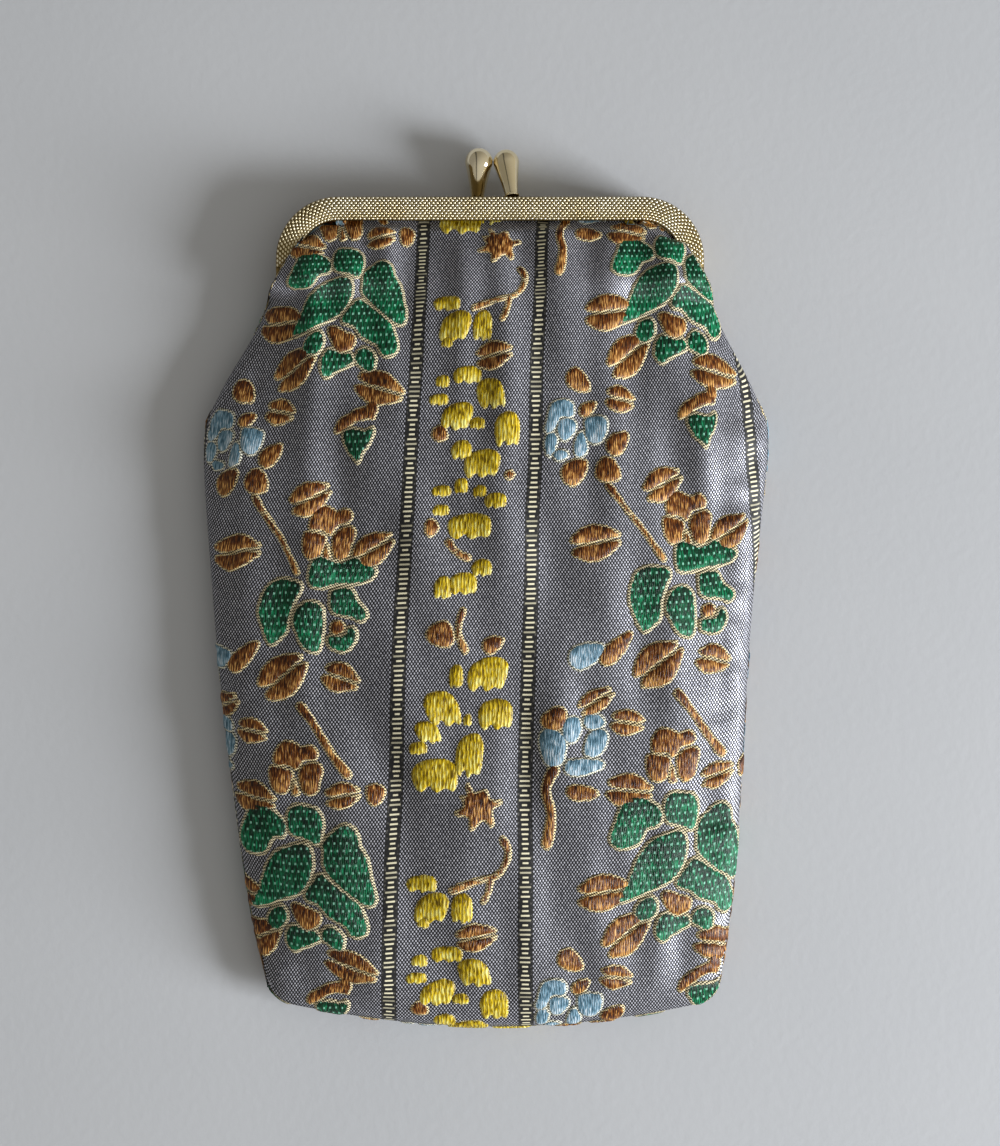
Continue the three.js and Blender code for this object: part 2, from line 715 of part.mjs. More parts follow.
// Where a flower comes on the front: in a panel on each side of the column, and one repeat lower.
function flowerPlaces(flower, acrossShifts) {
  const alongShifts = [0, -floralRepeat];
  const places = acrossShifts.flatMap((across) =>
    alongShifts.map(
      (along) => new THREE.Vector2(flower.across * drawingUnit + across, flower.along * drawingUnit + along),
    ),
  );
  return places.filter((place) => {
    const [x, y] = overTable(place.x, place.y);
    return Math.abs(x) < halfWidthAt(y) && y > bottomAt(x) + flowerSeamGap;
  });
}

function wovenFlowers() {
  const skins = { [weaveRelief]: reliefSkin(weaveRelief), [heartRelief]: reliefSkin(heartRelief) };
  const raise = (flower, shifts) =>
    flowerPlaces(flower, shifts).flatMap((middle) =>
      kinds[flower.kind].map((field) =>
        dyed(silkPrism(flower, field, middle).intersect(skins[field.relief]), field.silk),
      ),
    );
  const inPanels = panelFlowers.flatMap((flower) => raise(flower, [0, -columnWidth - panelWidth]));
  const inColumn = columnFlowers.flatMap((flower) => raise(flower, [0]));
  return wasm.Manifold.union([...inPanels, ...inColumn]).intersect(flowerRoom());
}

function frontPanel() {
  const stripes = stripeEnds.map((ends) => dyed(ladderStripe(ends), silk.stripe));
  return wasm.Manifold.union([dyed(clothPanel(1), silk.ground), ...stripes, wovenFlowers()]);
}

function clothPanel(side) {
  return clothLayer({
    side,
    inset: 0,
    thickness: clothThickness,
    low: clothLow,
    edge: side > 0 ? lappedEdge : tuckedEdge,
    laps: side > 0,
    drawnIn: 0,
    columns: side > 0 ? frontColumns : backColumns,
  });
}

function liningPanel(side) {
  return clothLayer({
    side,
    inset: clothThickness + layerGap,
    thickness: liningThickness,
    low: liningLow,
    edge: liningEdge,
    laps: false,
    drawnIn: (hingeWidth - lapWidth) / 2,
    columns: liningColumns,
  });
}

// The twisted paper cord, pressed flat beside the inner leaf.
function paperCord(side) {
  const outer = -(sheet + 2 * knobSeatGap + tenonHeadHeight + layerGap);
  const bevel = paperThickness / 4;
  const section = [
    [outer - paperWidth + bevel, paperLow],
    [outer - bevel, paperLow],
    [outer, paperLow + bevel],
    [outer, paperLow + paperThickness - bevel],
    [outer - bevel, paperLow + paperThickness],
    [outer - paperWidth + bevel, paperLow + paperThickness],
    [outer - paperWidth, paperLow + paperThickness - bevel],
    [outer - paperWidth, paperLow + bevel],
  ];
  return sweepBow(section, armFoot + joggleLength + layerGap, side);
}

const paleGold = new THREE.MeshStandardMaterial({ color: 0xb9a77a, metalness: 0.9, roughness: 0.35 });
const brightGold = new THREE.MeshStandardMaterial({ color: 0xcdbf98, metalness: 1, roughness: 0.12 });
const plainBrocade = new THREE.MeshStandardMaterial({ color: 0x8b8a90, roughness: 0.6 });
const flowered = new THREE.MeshStandardMaterial({ vertexColors: true, roughness: 0.6 });
const liningCloth = new THREE.MeshStandardMaterial({ color: 0x2a2724, roughness: 0.8 });
const paper = new THREE.MeshStandardMaterial({ color: 0xb08e5e, roughness: 0.9 });

const purse = new THREE.Group();
purse.name = "kiss_lock_purse";
purse.add(meshOf("front_frame", frameHalf(1, frontKnobX), paleGold));
purse.add(meshOf("rear_frame", frameHalf(-1, rearKnobX), paleGold));
purse.add(meshOf("left_hinge_rivet", hingeRivet(-1), brightGold));
purse.add(meshOf("right_hinge_rivet", hingeRivet(1), brightGold));
const headReach = knobHeadRadius + headsGap / 2;
purse.add(meshOf("front_clasp_knob", claspKnob(frontKnobX, kissX + headReach, 1), brightGold));
purse.add(meshOf("rear_clasp_knob", claspKnob(rearKnobX, kissX - headReach, -1), brightGold));
purse.add(meshOf("front_panel", frontPanel(), flowered));
purse.add(meshOf("back_panel", clothPanel(-1), plainBrocade));
purse.add(meshOf("front_lining", liningPanel(1), liningCloth));
purse.add(meshOf("back_lining", liningPanel(-1), liningCloth));
purse.add(meshOf("front_paper_cord", paperCord(1), paper));
purse.add(meshOf("rear_paper_cord", paperCord(-1), paper));

// The origin lies on the table, half way between the sewn bottom and the knobs' tips.
const knobTop = hingeBelowTop + knobSeatGap + knobHeight;
purse.position.y = (pouchLength - knobTop) / 2;

export default purse;
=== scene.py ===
# %% [markdown]
# # A kiss lock coin purse
# The purse lies closed on its back. A pressed metal frame, hinged at the ends of its arms, holds a tall
# pouch of silver brocade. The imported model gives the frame, the hinge and the room of the pouch, and this
# lesson dresses them. It is loaded first, and everything later is placed by its measures, in metres.

# %% Load the fixed frame
import json
import math

import bmesh
import bpy
import numpy as np
from mathutils import Matrix, Vector, noise


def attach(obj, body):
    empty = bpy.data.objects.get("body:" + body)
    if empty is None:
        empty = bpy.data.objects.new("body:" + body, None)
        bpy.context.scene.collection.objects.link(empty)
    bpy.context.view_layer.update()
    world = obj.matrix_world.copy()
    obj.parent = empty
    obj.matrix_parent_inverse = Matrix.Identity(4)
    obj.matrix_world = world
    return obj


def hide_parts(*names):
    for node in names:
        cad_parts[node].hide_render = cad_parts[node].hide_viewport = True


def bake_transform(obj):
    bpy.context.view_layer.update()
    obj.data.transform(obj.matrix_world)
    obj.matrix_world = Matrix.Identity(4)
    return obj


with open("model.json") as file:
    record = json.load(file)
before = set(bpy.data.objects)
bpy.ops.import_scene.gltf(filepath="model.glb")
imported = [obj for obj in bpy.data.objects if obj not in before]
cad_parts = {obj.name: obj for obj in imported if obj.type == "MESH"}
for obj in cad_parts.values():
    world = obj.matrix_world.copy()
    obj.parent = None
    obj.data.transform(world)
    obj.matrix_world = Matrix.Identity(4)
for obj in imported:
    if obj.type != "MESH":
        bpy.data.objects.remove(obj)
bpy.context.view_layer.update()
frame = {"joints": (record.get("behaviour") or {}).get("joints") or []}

MM = 0.001
HINGE = Vector(frame["joints"][0]["pos_m"]) / MM
print("hinge at", [round(c, 2) for c in HINGE], "mm")

# %% [markdown]
# ## Camera
# The purse is seen from straight above. A long lens keeps the sides of the pouch from spreading. The
# picture's height at the middle of the purse, and the lens, give the camera's distance.

# %% Camera
PICTURE = (1000, 1146)
MM_PER_PIXEL = 0.2
MIDDLE_PIXEL = (490, 588)
LENS, SENSOR = 70, 36
LEVEL = 7  # height of the plane that the scale was measured on

view_height = PICTURE[1] * MM_PER_PIXEL
camera_data = bpy.data.cameras.new("camera")
camera_data.lens = LENS
camera_data.sensor_width = SENSOR
camera_data.clip_start = 0.01
camera = bpy.data.objects.new("camera", camera_data)
bpy.context.scene.collection.objects.link(camera)
camera.location = Vector((
    (PICTURE[0] / 2 - MIDDLE_PIXEL[0]) * MM_PER_PIXEL,
    (MIDDLE_PIXEL[1] - PICTURE[1] / 2) * MM_PER_PIXEL,
    LEVEL + view_height * LENS / SENSOR,
)) * MM
bpy.context.scene.camera = camera
print("camera", [round(c / MM) for c in camera.location], "mm")

# %% [markdown]
# ## Light
# Soft daylight comes in low from one side, below and to the right of the purse, and a weak sky fills the
# shadows. One large area lamp and a grey world do this. The floor and the world are pale and plain.

# %% Light and floor
KEY = {"place": (1.18, -0.43, 0.43), "size": 0.5, "watts": 30, "colour": (0.95, 0.985, 1.05)}
SKY = 0.55


def area_lamp(name, place, size, watts, colour):
    data = bpy.data.lights.new(name, "AREA")
    data.energy = watts
    data.size = size
    data.color = colour
    lamp = bpy.data.objects.new(name, data)
    bpy.context.scene.collection.objects.link(lamp)
    lamp.location = place
    lamp.rotation_euler = (-Vector(place)).to_track_quat("-Z", "Y").to_euler()
    return lamp


area_lamp("window", **KEY)
bpy.context.scene.view_settings.view_transform = "Standard"

# %% [markdown]
# ## Shader maths
# A material here is a small graph. `Value` wraps one output of a node, so that `a * b + 0.2` adds the Math
# nodes it names, and `Graph.node` makes any other node from its type, its settings and its inputs.

# %% Shader helpers
class Value:
    def __init__(self, graph, socket):
        self.graph = graph
        self.socket = socket

    def maths(self, operation, *values):
        return self.graph.node("ShaderNodeMath", {"operation": operation}, dict(enumerate(values)))

    def __add__(self, other):
        return self.maths("ADD", self, other)

    def __sub__(self, other):
        return self.maths("SUBTRACT", self, other)

    def __mul__(self, other):
        return self.maths("MULTIPLY", self, other)

    def __truediv__(self, other):
        return self.maths("DIVIDE", self, other)

    def __rsub__(self, other):
        return self.maths("SUBTRACT", other, self)

    def __rtruediv__(self, other):
        return self.maths("DIVIDE", other, self)

    __radd__ = __add__
    __rmul__ = __mul__

    def sin(self):
        return self.maths("SINE", self)

    def absolute(self):
        return self.maths("ABSOLUTE", self)

    def floor(self):
        return self.maths("FLOOR", self)

    def fract(self):
        return self.maths("FRACT", self)

    def least(self, other):
        return self.maths("MINIMUM", self, other)

    def ramp(self, start, end):
        """0 at start and before it, 1 at end and after it, smooth between them."""
        settings = {"interpolation_type": "SMOOTHSTEP", "clamp": True}
        return self.graph.node("ShaderNodeMapRange", settings, {0: self, 1: start, 2: end})


class Graph:
    """The nodes of a material or a world."""

    def __init__(self, owner, surface="Principled BSDF"):
        owner.use_nodes = True
        self.owner = owner
        self.tree = owner.node_tree
        self.surface = self.tree.nodes[surface]

    def put(self, socket, value):
        if isinstance(value, Value):
            self.tree.links.new(value.socket, socket)
        else:
            socket.default_value = value

    def node(self, kind, settings=None, inputs=None, output=0):
        made = self.tree.nodes.new(kind)
        for key, value in (settings or {}).items():
            if key == "stops":
                self.set_stops(made.color_ramp, value)
            else:
                setattr(made, key, value)
        for key, value in (inputs or {}).items():
            self.put(made.inputs[key], value)
        return Value(self, made.outputs[output])

    def set_stops(self, ramp, stops):
        while len(ramp.elements) < len(stops):
            ramp.elements.new(0.5)
        for element, (position, colour) in zip(ramp.elements, stops):
            element.position = position
            element.color = (*colour, 1)

    def mix(self, share, a, b):
        return self.node("ShaderNodeMix", {"data_type": "RGBA"}, {0: share, 6: a, 7: b}, 2)

    def uv(self, name):
        place = self.node("ShaderNodeUVMap", {"uv_map": name})
        split = self.node("ShaderNodeSeparateXYZ", None, {0: place})
        return place, split, Value(self, split.socket.node.outputs[1])

    def stretched(self, where, scale):
        return self.node("ShaderNodeVectorMath", {"operation": "MULTIPLY"}, {0: where, 1: scale})

    def here(self):
        """The point's own place, in millimetres."""
        return self.stretched(self.node("ShaderNodeTexCoord", None, None, "Object"), (1 / MM,) * 3)

    def noise(self, where, scale, detail=2.0):
        return self.node("ShaderNodeTexNoise", None, {"Vector": where, "Scale": scale, "Detail": detail})

    def bump(self, height, depth, strength=1.0):
        """Relief of a height from 0 to 1, depth millimetres deep."""
        inputs = {"Strength": strength, "Distance": depth * MM, "Height": height}
        self.put(self.surface.inputs["Normal"], self.node("ShaderNodeBump", None, inputs))

    def finish(self, **inputs):
        for key, value in inputs.items():
            self.put(self.surface.inputs[key.replace("_", " ")], value)
        return self.owner


def new_graph(name):
    return Graph(bpy.data.materials.new(name))


def mix(a, b, share):
    return a + (b - a) * share


def colour(code):
    """The colour of a six-figure code, in the linear values that shaders use."""
    channels = [int(code[i:i + 2], 16) / 255 for i in (0, 2, 4)]
    return (*[c / 12.92 if c <= 0.04045 else ((c + 0.055) / 1.055) ** 2.4 for c in channels], 1)


# %% [markdown]
# ## Sky
# Polished metal shows what is round it. An even grey world would leave the knobs flat, so the sky is
# brighter towards the window and dim overhead and behind, as a room is, with one dark beam across it.

# %% Sky
def room_sky():
    graph = Graph(bpy.data.worlds.new("room"), "Background")
    bpy.context.scene.world = graph.owner
    towards = graph.node("ShaderNodeTexCoord", None, None, "Generated")
    window = Vector((0.8, -0.55, 0.12)).normalized()
    settings = {"operation": "DOT_PRODUCT"}
    facing = graph.node("ShaderNodeVectorMath", settings, {0: towards, 1: window}, "Value")
    bright = facing.ramp(-0.7, 1.0)
    tone = graph.mix(bright, colour("b4b2ae"), colour("fffcf6"))
    sideways = graph.node("ShaderNodeSeparateXYZ", None, {0: towards})
    beam = (sideways + 0.34).absolute().ramp(0.11, 0.06)
    tone = graph.mix(beam * 0.7, tone, colour("1c1d20"))
    graph.finish(Color=tone, Strength=SKY)


# %% [markdown]
# ## Table top
# The purse lies on a painted board. The floor is one wide quad with a faint unevenness in its paint.

# %% Table top
def new_piece(name, bm, material, smooth=True):
    """Turns a bmesh into an object at the origin."""
    mesh = bpy.data.meshes.new(name)
    bm.to_mesh(mesh)
    bm.free()
    for face in mesh.polygons:
        face.use_smooth = smooth
    mesh.materials.append(material)
    piece = bpy.data.objects.new(name, mesh)
    bpy.context.scene.collection.objects.link(piece)
    return piece


def painted_board():
    graph = new_graph("painted board")
    cloudy = graph.noise(graph.here(), 0.012, 3)
    grain = graph.noise(graph.here(), 0.5, 4)
    graph.bump(grain, 0.12, 0.35)
    pale = graph.mix(cloudy, colour("bcbec0"), colour("c8c9ca"))
    return graph.finish(Base_Color=pale, Roughness=0.75)


room_sky()
board = bmesh.new()
bmesh.ops.create_grid(board, x_segments=1, y_segments=1, size=1.5)
floor = new_piece("table_top", board, painted_board())

# %% [markdown]
# ## Gilt metal
# The frame is pressed from sheet that was plated a pale gold. Its hollows take a darker gilt as painted
# shade, and its beads a near-white gilt as painted light. The knobs and rivets are polished. Both are
# plain metals with a little unevenness: a smear in the polish, and a warmer, duller tone where the
# plating is thin.

# %% Metal materials
def gilt(name, dull, bright, rough_from, rough_to):
    graph = new_graph(name)
    place = graph.here()
    smear = graph.noise(place, 0.12, 3)
    tone = graph.mix(smear.ramp(0.3, 0.7), colour(dull), colour(bright))
    fine = graph.noise(place, 3.0, 2)
    graph.bump(fine, 0.01, 0.3)
    rough = rough_from + smear * (rough_to - rough_from)
    return graph.finish(Base_Color=tone, Metallic=1.0, Roughness=rough)


# One plating in two tones: the dark gilt is painted shade in the hollows, and the pale gilt is painted light
# on the beads.
shaded_hollow_gilt = gilt("gilt painted dark as shade in the hollows", "7d6a3e", "9c8756", 0.36, 0.5)
lit_bead_gilt = gilt("gilt painted light on the beads", "fff0c6", "fffae4", 0.3, 0.42)
polished_gilt = gilt("polished gilt", "ead9ae", "f6e9c8", 0.05, 0.12)

# %% [markdown]
# ## The pressed frame
# Each half is one channel of sheet metal bent round two corners, open towards the bag. Its section is
# drawn once at the foot of the left arm, drawn out along the arm, spun about the first corner, drawn
# across the top, spun again and drawn down. A swept curve would twist at the corners, and spinning
# doesn't. `out` counts outwards from the frame's outer edge, `high` from the middle plane.

# %% Frame sizes
FRAME_HALF = 42.7  # outside of an arm
FRAME_TOP = 17.5  # above the hinge
BAND = 4.9  # width of the embossed face
CORNER = 12.4
SHEET = 0.6
EDGE_ROUND = 1.2
CROWN = 0.3  # doming of the face
FACE = 4.45  # height of the face over the middle plane
MIDDLE = 5  # height of the middle plane over the table
HALF_GAP = 0.15
EAR = 3  # radius of a hinge ear
EARS_APART = 0.3
ARM_FOOT = EAR + 0.3
SHOULDER = FRAME_TOP - CORNER
STRAIGHT = FRAME_HALF - CORNER


def face_height(out):
    """The domed face and its rounded edge, over the middle plane."""
    if out > -EDGE_ROUND:
        return FACE - EDGE_ROUND + math.sqrt(max(0, EDGE_ROUND**2 - (out + EDGE_ROUND) ** 2))
    from_edge = (-out - EDGE_ROUND) / (BAND - EDGE_ROUND)
    return FACE + CROWN * math.sin(math.pi * from_edge)


def channel_section():
    outside = [(0, HALF_GAP)]
    for i in range(7):
        angle = math.pi / 2 * i / 6
        out = -EDGE_ROUND + EDGE_ROUND * math.cos(angle)
        outside.append((out, FACE - EDGE_ROUND + EDGE_ROUND * math.sin(angle)))
    outside += [(out, face_height(out)) for out in np.linspace(-EDGE_ROUND, -BAND + 0.08, 9)[1:]]
    lip = [(-BAND, FACE - 0.1), (-BAND, FACE - SHEET + 0.08), (-BAND + 0.08, FACE - SHEET)]
    inside = [(-EDGE_ROUND, FACE - SHEET), (-SHEET * 1.2, FACE - SHEET * 1.2), (-SHEET, FACE - EDGE_ROUND)]
    leaf = [(-SHEET, HALF_GAP + SHEET), (-BAND, HALF_GAP + SHEET), (-BAND, HALF_GAP)]
    return outside + lip + inside + leaf


# %% [markdown]
# An ear is a flat tab on the inside of each arm's wall, with a round end about the rivet. It is a disc
# and a strip joined in one outline and given the sheet's thickness.

# %% Drawing out and spinning
def only(kind, made):
    return [item for item in made if isinstance(item, kind)]


def draw_out(bm, loop, move):
    """Extrudes a loop of edges and moves the new one; returns its edges."""
    made = bmesh.ops.extrude_edge_only(bm, edges=loop)["geom"]
    bmesh.ops.translate(bm, verts=only(bmesh.types.BMVert, made), vec=Vector(move) * MM)
    return only(bmesh.types.BMEdge, made)


def spin_round(bm, loop, centre, degrees, steps, axis=(0, 0, 1)):
    turned = bmesh.ops.spin(bm, geom=loop, cent=Vector(centre) * MM, axis=axis, dvec=(0, 0, 0),
                            angle=math.radians(degrees), steps=steps, use_merge=False)
    return only(bmesh.types.BMEdge, turned["geom_last"])


# %% Frame pieces
def bow(bm, section, side):
    """Sweeps a closed section up the left arm, over the top and down the right arm."""
    foot = HINGE.y + ARM_FOOT
    places = [Vector((-FRAME_HALF - out, foot, MIDDLE + side * high)) * MM for out, high in section]
    first = bm.faces.new([bm.verts.new(place) for place in places])
    loop = list(first.edges)
    loop = draw_out(bm, loop, (0, SHOULDER - ARM_FOOT, 0))
    loop = spin_round(bm, loop, (-STRAIGHT, HINGE.y + SHOULDER, 0), -90, 16)
    loop = draw_out(bm, loop, (2 * STRAIGHT, 0, 0))
    loop = spin_round(bm, loop, (STRAIGHT, HINGE.y + SHOULDER, 0), -90, 16)
    loop = draw_out(bm, loop, (0, ARM_FOOT - SHOULDER, 0))
    bmesh.ops.edgenet_fill(bm, edges=loop)


def ear(bm, side, handed, inner_x):
    """A tab with a round end, standing across the arm."""
    centre = Vector((handed * inner_x, HINGE.y, MIDDLE)) * MM
    disc = bmesh.ops.create_circle(bm, cap_ends=True, segments=28, radius=EAR * MM,
                                   matrix=Matrix.Translation(centre) @ Matrix.Rotation(math.pi / 2, 4, "Y"))
    made = set(disc["verts"])
    for vert in made:
        if (vert.co.z / MM - MIDDLE) * side > EAR * 0.6 and vert.co.y / MM > HINGE.y - 0.01:
            vert.co.y = (HINGE.y + ARM_FOOT + 1.2) * MM
    faces = list({f for v in made for f in v.link_faces})
    wall = bmesh.ops.extrude_face_region(bm, geom=faces)["geom"]
    bmesh.ops.translate(bm, verts=only(bmesh.types.BMVert, wall), vec=(handed * SHEET * MM, 0, 0))


def frame_half(name, node, side, body):
    bm = bmesh.new()
    bow(bm, channel_section(), side)
    inner_x = FRAME_HALF - SHEET if side > 0 else FRAME_HALF - 2 * SHEET - EARS_APART
    for handed in (-1, 1):
        ear(bm, side, handed, inner_x)
    bmesh.ops.recalc_face_normals(bm, faces=bm.faces)
    # The channel takes the gilt darkened as painted shade.
    piece = new_piece(name, bm, shaded_hollow_gilt)
    piece.data.set_sharp_from_angle(angle=math.radians(35))
    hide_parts(node)
    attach(piece, body)
    print(name, len(piece.data.polygons), "faces")


frame_half("front_channel", "front_frame", 1, "front_half")
frame_half("rear_channel", "rear_frame", -1, "back_half")

# %% [markdown]
# ## Embossed beads
# The face is rolled with rows of tiny slanted beads that follow the bend. Each bead is a flattened ball
# of twenty faces, so that more than a thousand to each half stay light, and they catch the light as
# a bump in a shader wouldn't at the frame's edge. Rows are set half a step apart.

# %% Beads
BEAD_STEP = 0.86  # along the middle of the band
BEAD_ROWS = 9
FIRST_ROW, ROWS_WIDE = 0.42, BAND - 0.75  # the first row from the frame's edge, and the width of all rows
BEAD = (0.4, 0.245, 0.2)  # half length, half width, height
BEAD_SLANT = 18


def bow_point(out, along):
    """A point of the bow at a distance along its middle line: place and direction, from the left foot."""
    middle = CORNER - BAND / 2
    arm, turn, top = SHOULDER - ARM_FOOT, middle * math.pi / 2, 2 * STRAIGHT
    reach = CORNER + out
    if along < arm:
        return -STRAIGHT - reach, ARM_FOOT + along, 90
    along -= arm
    if along < turn:
        angle = along / turn * math.pi / 2
        x, up = -STRAIGHT - reach * math.cos(angle), SHOULDER + reach * math.sin(angle)
        return x, up, 90 - math.degrees(angle)
    along -= turn
    if along < top:
        return -STRAIGHT + along, SHOULDER + reach, 0
    along -= top
    if along < turn:
        angle = along / turn * math.pi / 2
        x, up = STRAIGHT + reach * math.sin(angle), SHOULDER + reach * math.cos(angle)
        return x, up, -math.degrees(angle)
    return STRAIGHT + reach, SHOULDER - (along - turn), -90


def bead_rows(name, side, body):
    bm = bmesh.new()
    length = 2 * (SHOULDER - ARM_FOOT) + 2 * STRAIGHT + (CORNER - BAND / 2) * math.pi
    count = round(length / BEAD_STEP)
    for row in range(BEAD_ROWS):
        out = -FIRST_ROW - row * ROWS_WIDE / (BEAD_ROWS - 1)
        slope = (face_height(out + 0.1) - face_height(out - 0.1)) / 0.2
        for i in range(count):
            x, up, heading = bow_point(out, (i + 0.5 + 0.5 * (row % 2)) * length / (count + 0.5))
            turn = Matrix.Rotation(math.radians(heading), 4, "Z")
            lean = Matrix.Rotation(math.atan(slope) * side, 4, "X")
            slant = Matrix.Rotation(math.radians(BEAD_SLANT), 4, "Z")
            place = Vector((x, HINGE.y + up, MIDDLE + side * face_height(out)))
            size = Matrix.Diagonal((*BEAD, 1))
            whole = Matrix.Scale(MM, 4) @ Matrix.Translation(place) @ turn @ lean @ slant @ size
            bmesh.ops.create_icosphere(bm, subdivisions=1, radius=1, matrix=whole)
    # The beads take the gilt lightened as painted light.
    piece = new_piece(name, bm, lit_bead_gilt)
    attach(piece, body)
    print(name, BEAD_ROWS, "rows of", count)


bead_rows("front_beads", 1, "front_half")
bead_rows("rear_beads", -1, "back_half")

# %% [markdown]
# ## Clasp knobs and rivets
# A knob is turned: a round head on a neck that narrows and then widens to a crimped foot. Its half
# profile is spun about its axis and then leaned, so that the two heads meet over the middle of the
# frame. The rivets at the ears are spun in the same way.

# %% Turned pieces
KNOB_TALL = {"front": 9.9, "rear": 10.2}
KNOB_HEAD = {"front": 2.6, "rear": 2.78}
KNOB_SEAT = 0.1
KISS_X = 0.6  # where the two heads meet
FEET_X = {"front": 4.4, "rear": -2.6}
HEADS_GAP = 0.08
CHANNEL_MIDDLE = (HALF_GAP + FACE) / 2


def turned(name, profile, material, steps=48):
    """Spins a profile of (radius, height) about the Y axis."""
    bm = bmesh.new()
    verts = [bm.verts.new((r * MM, y * MM, 0)) for r, y in profile]
    edges = [bm.edges.new(pair) for pair in zip(verts, verts[1:])]
    bmesh.ops.spin(bm, geom=verts + edges, cent=(0, 0, 0), axis=(0, 1, 0), dvec=(0, 0, 0),
                   angle=2 * math.pi, steps=steps, use_merge=True)
    bmesh.ops.remove_doubles(bm, verts=bm.verts, dist=0.002 * MM)
    bmesh.ops.recalc_face_normals(bm, faces=bm.faces)
    piece = new_piece(name, bm, material)
    piece.data.set_sharp_from_angle(angle=math.radians(40))
    return piece


def knob(half, node, side, body):
    head, foot_x = KNOB_HEAD[half], FEET_X[half]
    head_x = KISS_X + side * (head + HEADS_GAP / 2)
    head_y = KNOB_TALL[half] - head
    lean = Vector((head_x - foot_x, head_y, -side * CHANNEL_MIDDLE))
    tall = lean.length
    profile = [(0, 0), (1.44, 0), (1.52, 0.14), (1.46, 0.36), (1.3, 0.5), (1.36, 0.9)]
    for i in range(1, 9):
        share = i / 8
        profile.append((mix(1.36, head * 0.95, share**1.2), mix(0.9, tall - head * 0.3, share)))
    for i in range(1, 17):
        angle = mix(-math.asin(0.3), math.pi / 2, i / 16)
        profile.append((head * math.cos(angle), tall + head * math.sin(angle)))
    profile[-1] = (0, tall + head)
    piece = turned(half + "_knob", profile, polished_gilt)
    tip = math.asin(-side * CHANNEL_MIDDLE / tall)
    tilt = -math.atan2(head_x - foot_x, head_y)
    seat = Vector((foot_x, HINGE.y + FRAME_TOP + KNOB_SEAT, MIDDLE + side * CHANNEL_MIDDLE)) * MM
    turn = Matrix.Rotation(tilt, 4, "Z") @ Matrix.Rotation(tip, 4, "X")
    piece.data.transform(Matrix.Translation(seat) @ turn)
    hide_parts(node)
    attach(piece, body)


def rivet(name, node, handed):
    inner, outer, head, high = FRAME_HALF - 2 * SHEET - 0.45, FRAME_HALF + 0.15, 1.6, 0.7
    profile = [(0, inner - high), (head * 0.6, inner - high * 0.92), (head * 0.9, inner - high * 0.6),
               (head, inner - 0.1), (head, inner), (0.8, inner), (0.8, outer), (head, outer),
               (head, outer + 0.1), (head * 0.9, outer + high * 0.6), (head * 0.6, outer + high * 0.92),
               (0, outer + high)]
    piece = turned(name, profile, polished_gilt, 28)
    place = Matrix.Translation(HINGE * MM) @ Matrix.Rotation(-handed * math.pi / 2, 4, "Z")
    piece.data.transform(place)
    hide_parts(node)
    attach(piece, "back_half")


knob("front", "front_clasp_knob", 1, "front_half")
knob("rear", "rear_clasp_knob", -1, "back_half")
rivet("left_rivet", "left_hinge_rivet", -1)
rivet("right_rivet", "right_hinge_rivet", 1)

# %% [markdown]
# ## The form of the pouch
# Two cloths are sewn together round the sides and the bottom and turned inside out, so each one swells
# from a crease. Their form is a height over the table: it rises steeply from the crease, is nearly flat
# in the middle, and thins towards the frame. All measures are in millimetres, and `up` counts from the
# hinge towards the clasp. A curve through a few widths gives the outline.

# %% Outline and fullness
# The front band's underside and crown
BAND_LOW, BAND_HIGH = MIDDLE + FACE - SHEET, MIDDLE + FACE + CROWN
LENGTH = 148.6
THICKNESS = 15
PETALS_UNDER = 0.42  # the back cloth lies this far over the table, on its raised flowers
BOTTOM_HALF, BOTTOM_BOW, BOTTOM_CORNER, BOTTOM_RISE = 43.6, 5.4, 4, 28
LAP_FROM, LAP_TO = 1.5, 8.6  # between these heights the front cloth laps over the arms
SIDES = [
    (-LENGTH, 43.6), (-123.6, 48.4), (-94, 51.6), (-60.5, 54.4), (-32, 56.6), (-22, 53.9),
    (-9, 46.9), (0, 43.2), (9, 38),
]
SWAY = [(-LENGTH, 1.0), (-110, -0.3), (-70, -1.4), (-30, -0.8), (0, 0.2), (FRAME_TOP, 0)]
FULLNESS = [
    (-LENGTH, 0.84), (-104, 0.93), (-52, 1), (-15, 0.93), (0, 0.86), (9, 0.76), (FRAME_TOP, 0.56),
]


def curve_through(points, samples=240):
    """A smooth curve through points (place, value), sampled for np.interp."""
    points = np.array(points, float)
    last = len(points) - 1
    share = np.linspace(0, last, samples + 1)
    i = np.minimum(share.astype(int), last)
    w = (share - i)[:, None]
    before, here, after, beyond = (points[np.clip(i + k, 0, last)] for k in (-1, 0, 1, 2))
    out, into = (after - before) / 2, (beyond - here) / 2
    curve = (2 * here - 2 * after + out + into) * w**3 + out * w + here
    curve += (3 * after - 3 * here - 2 * out - into) * w**2
    return lambda place: np.interp(place, curve[:, 0], curve[:, 1])


def ramp(value, start, end):
    share = np.clip((value - start) / (end - start), 0, 1)
    return share * share * (3 - 2 * share)


def swell(share):
    """0 at a crease, share 1, and 1 well inside it."""
    return (1 - np.minimum(1, np.abs(share)) ** 2.2) ** 0.6


side_at = curve_through(SIDES)
sway_at = curve_through(SWAY)
fullness_at = curve_through(FULLNESS)


def bottom_at(x):
    """The sewn bottom: bowed, with rounded corners."""
    into = np.maximum(0, np.abs(x) - BOTTOM_HALF + BOTTOM_CORNER)
    round_off = BOTTOM_CORNER - np.sqrt(np.maximum(0, BOTTOM_CORNER**2 - into**2))
    return -LENGTH + BOTTOM_BOW * (x / BOTTOM_HALF) ** 2 + round_off


def inside_band(x, up):
    """How far a point lies inside the inner edge of the frame's band."""
    shoulder, straight = FRAME_TOP - CORNER, FRAME_HALF - CORNER
    over, beside = np.maximum(0, up - shoulder), np.maximum(0, np.abs(x) - straight)
    return CORNER - BAND - np.hypot(over, beside)


print("half widths at the hinge and the hip:", side_at(0.0).round(1), side_at(-32.0).round(1))

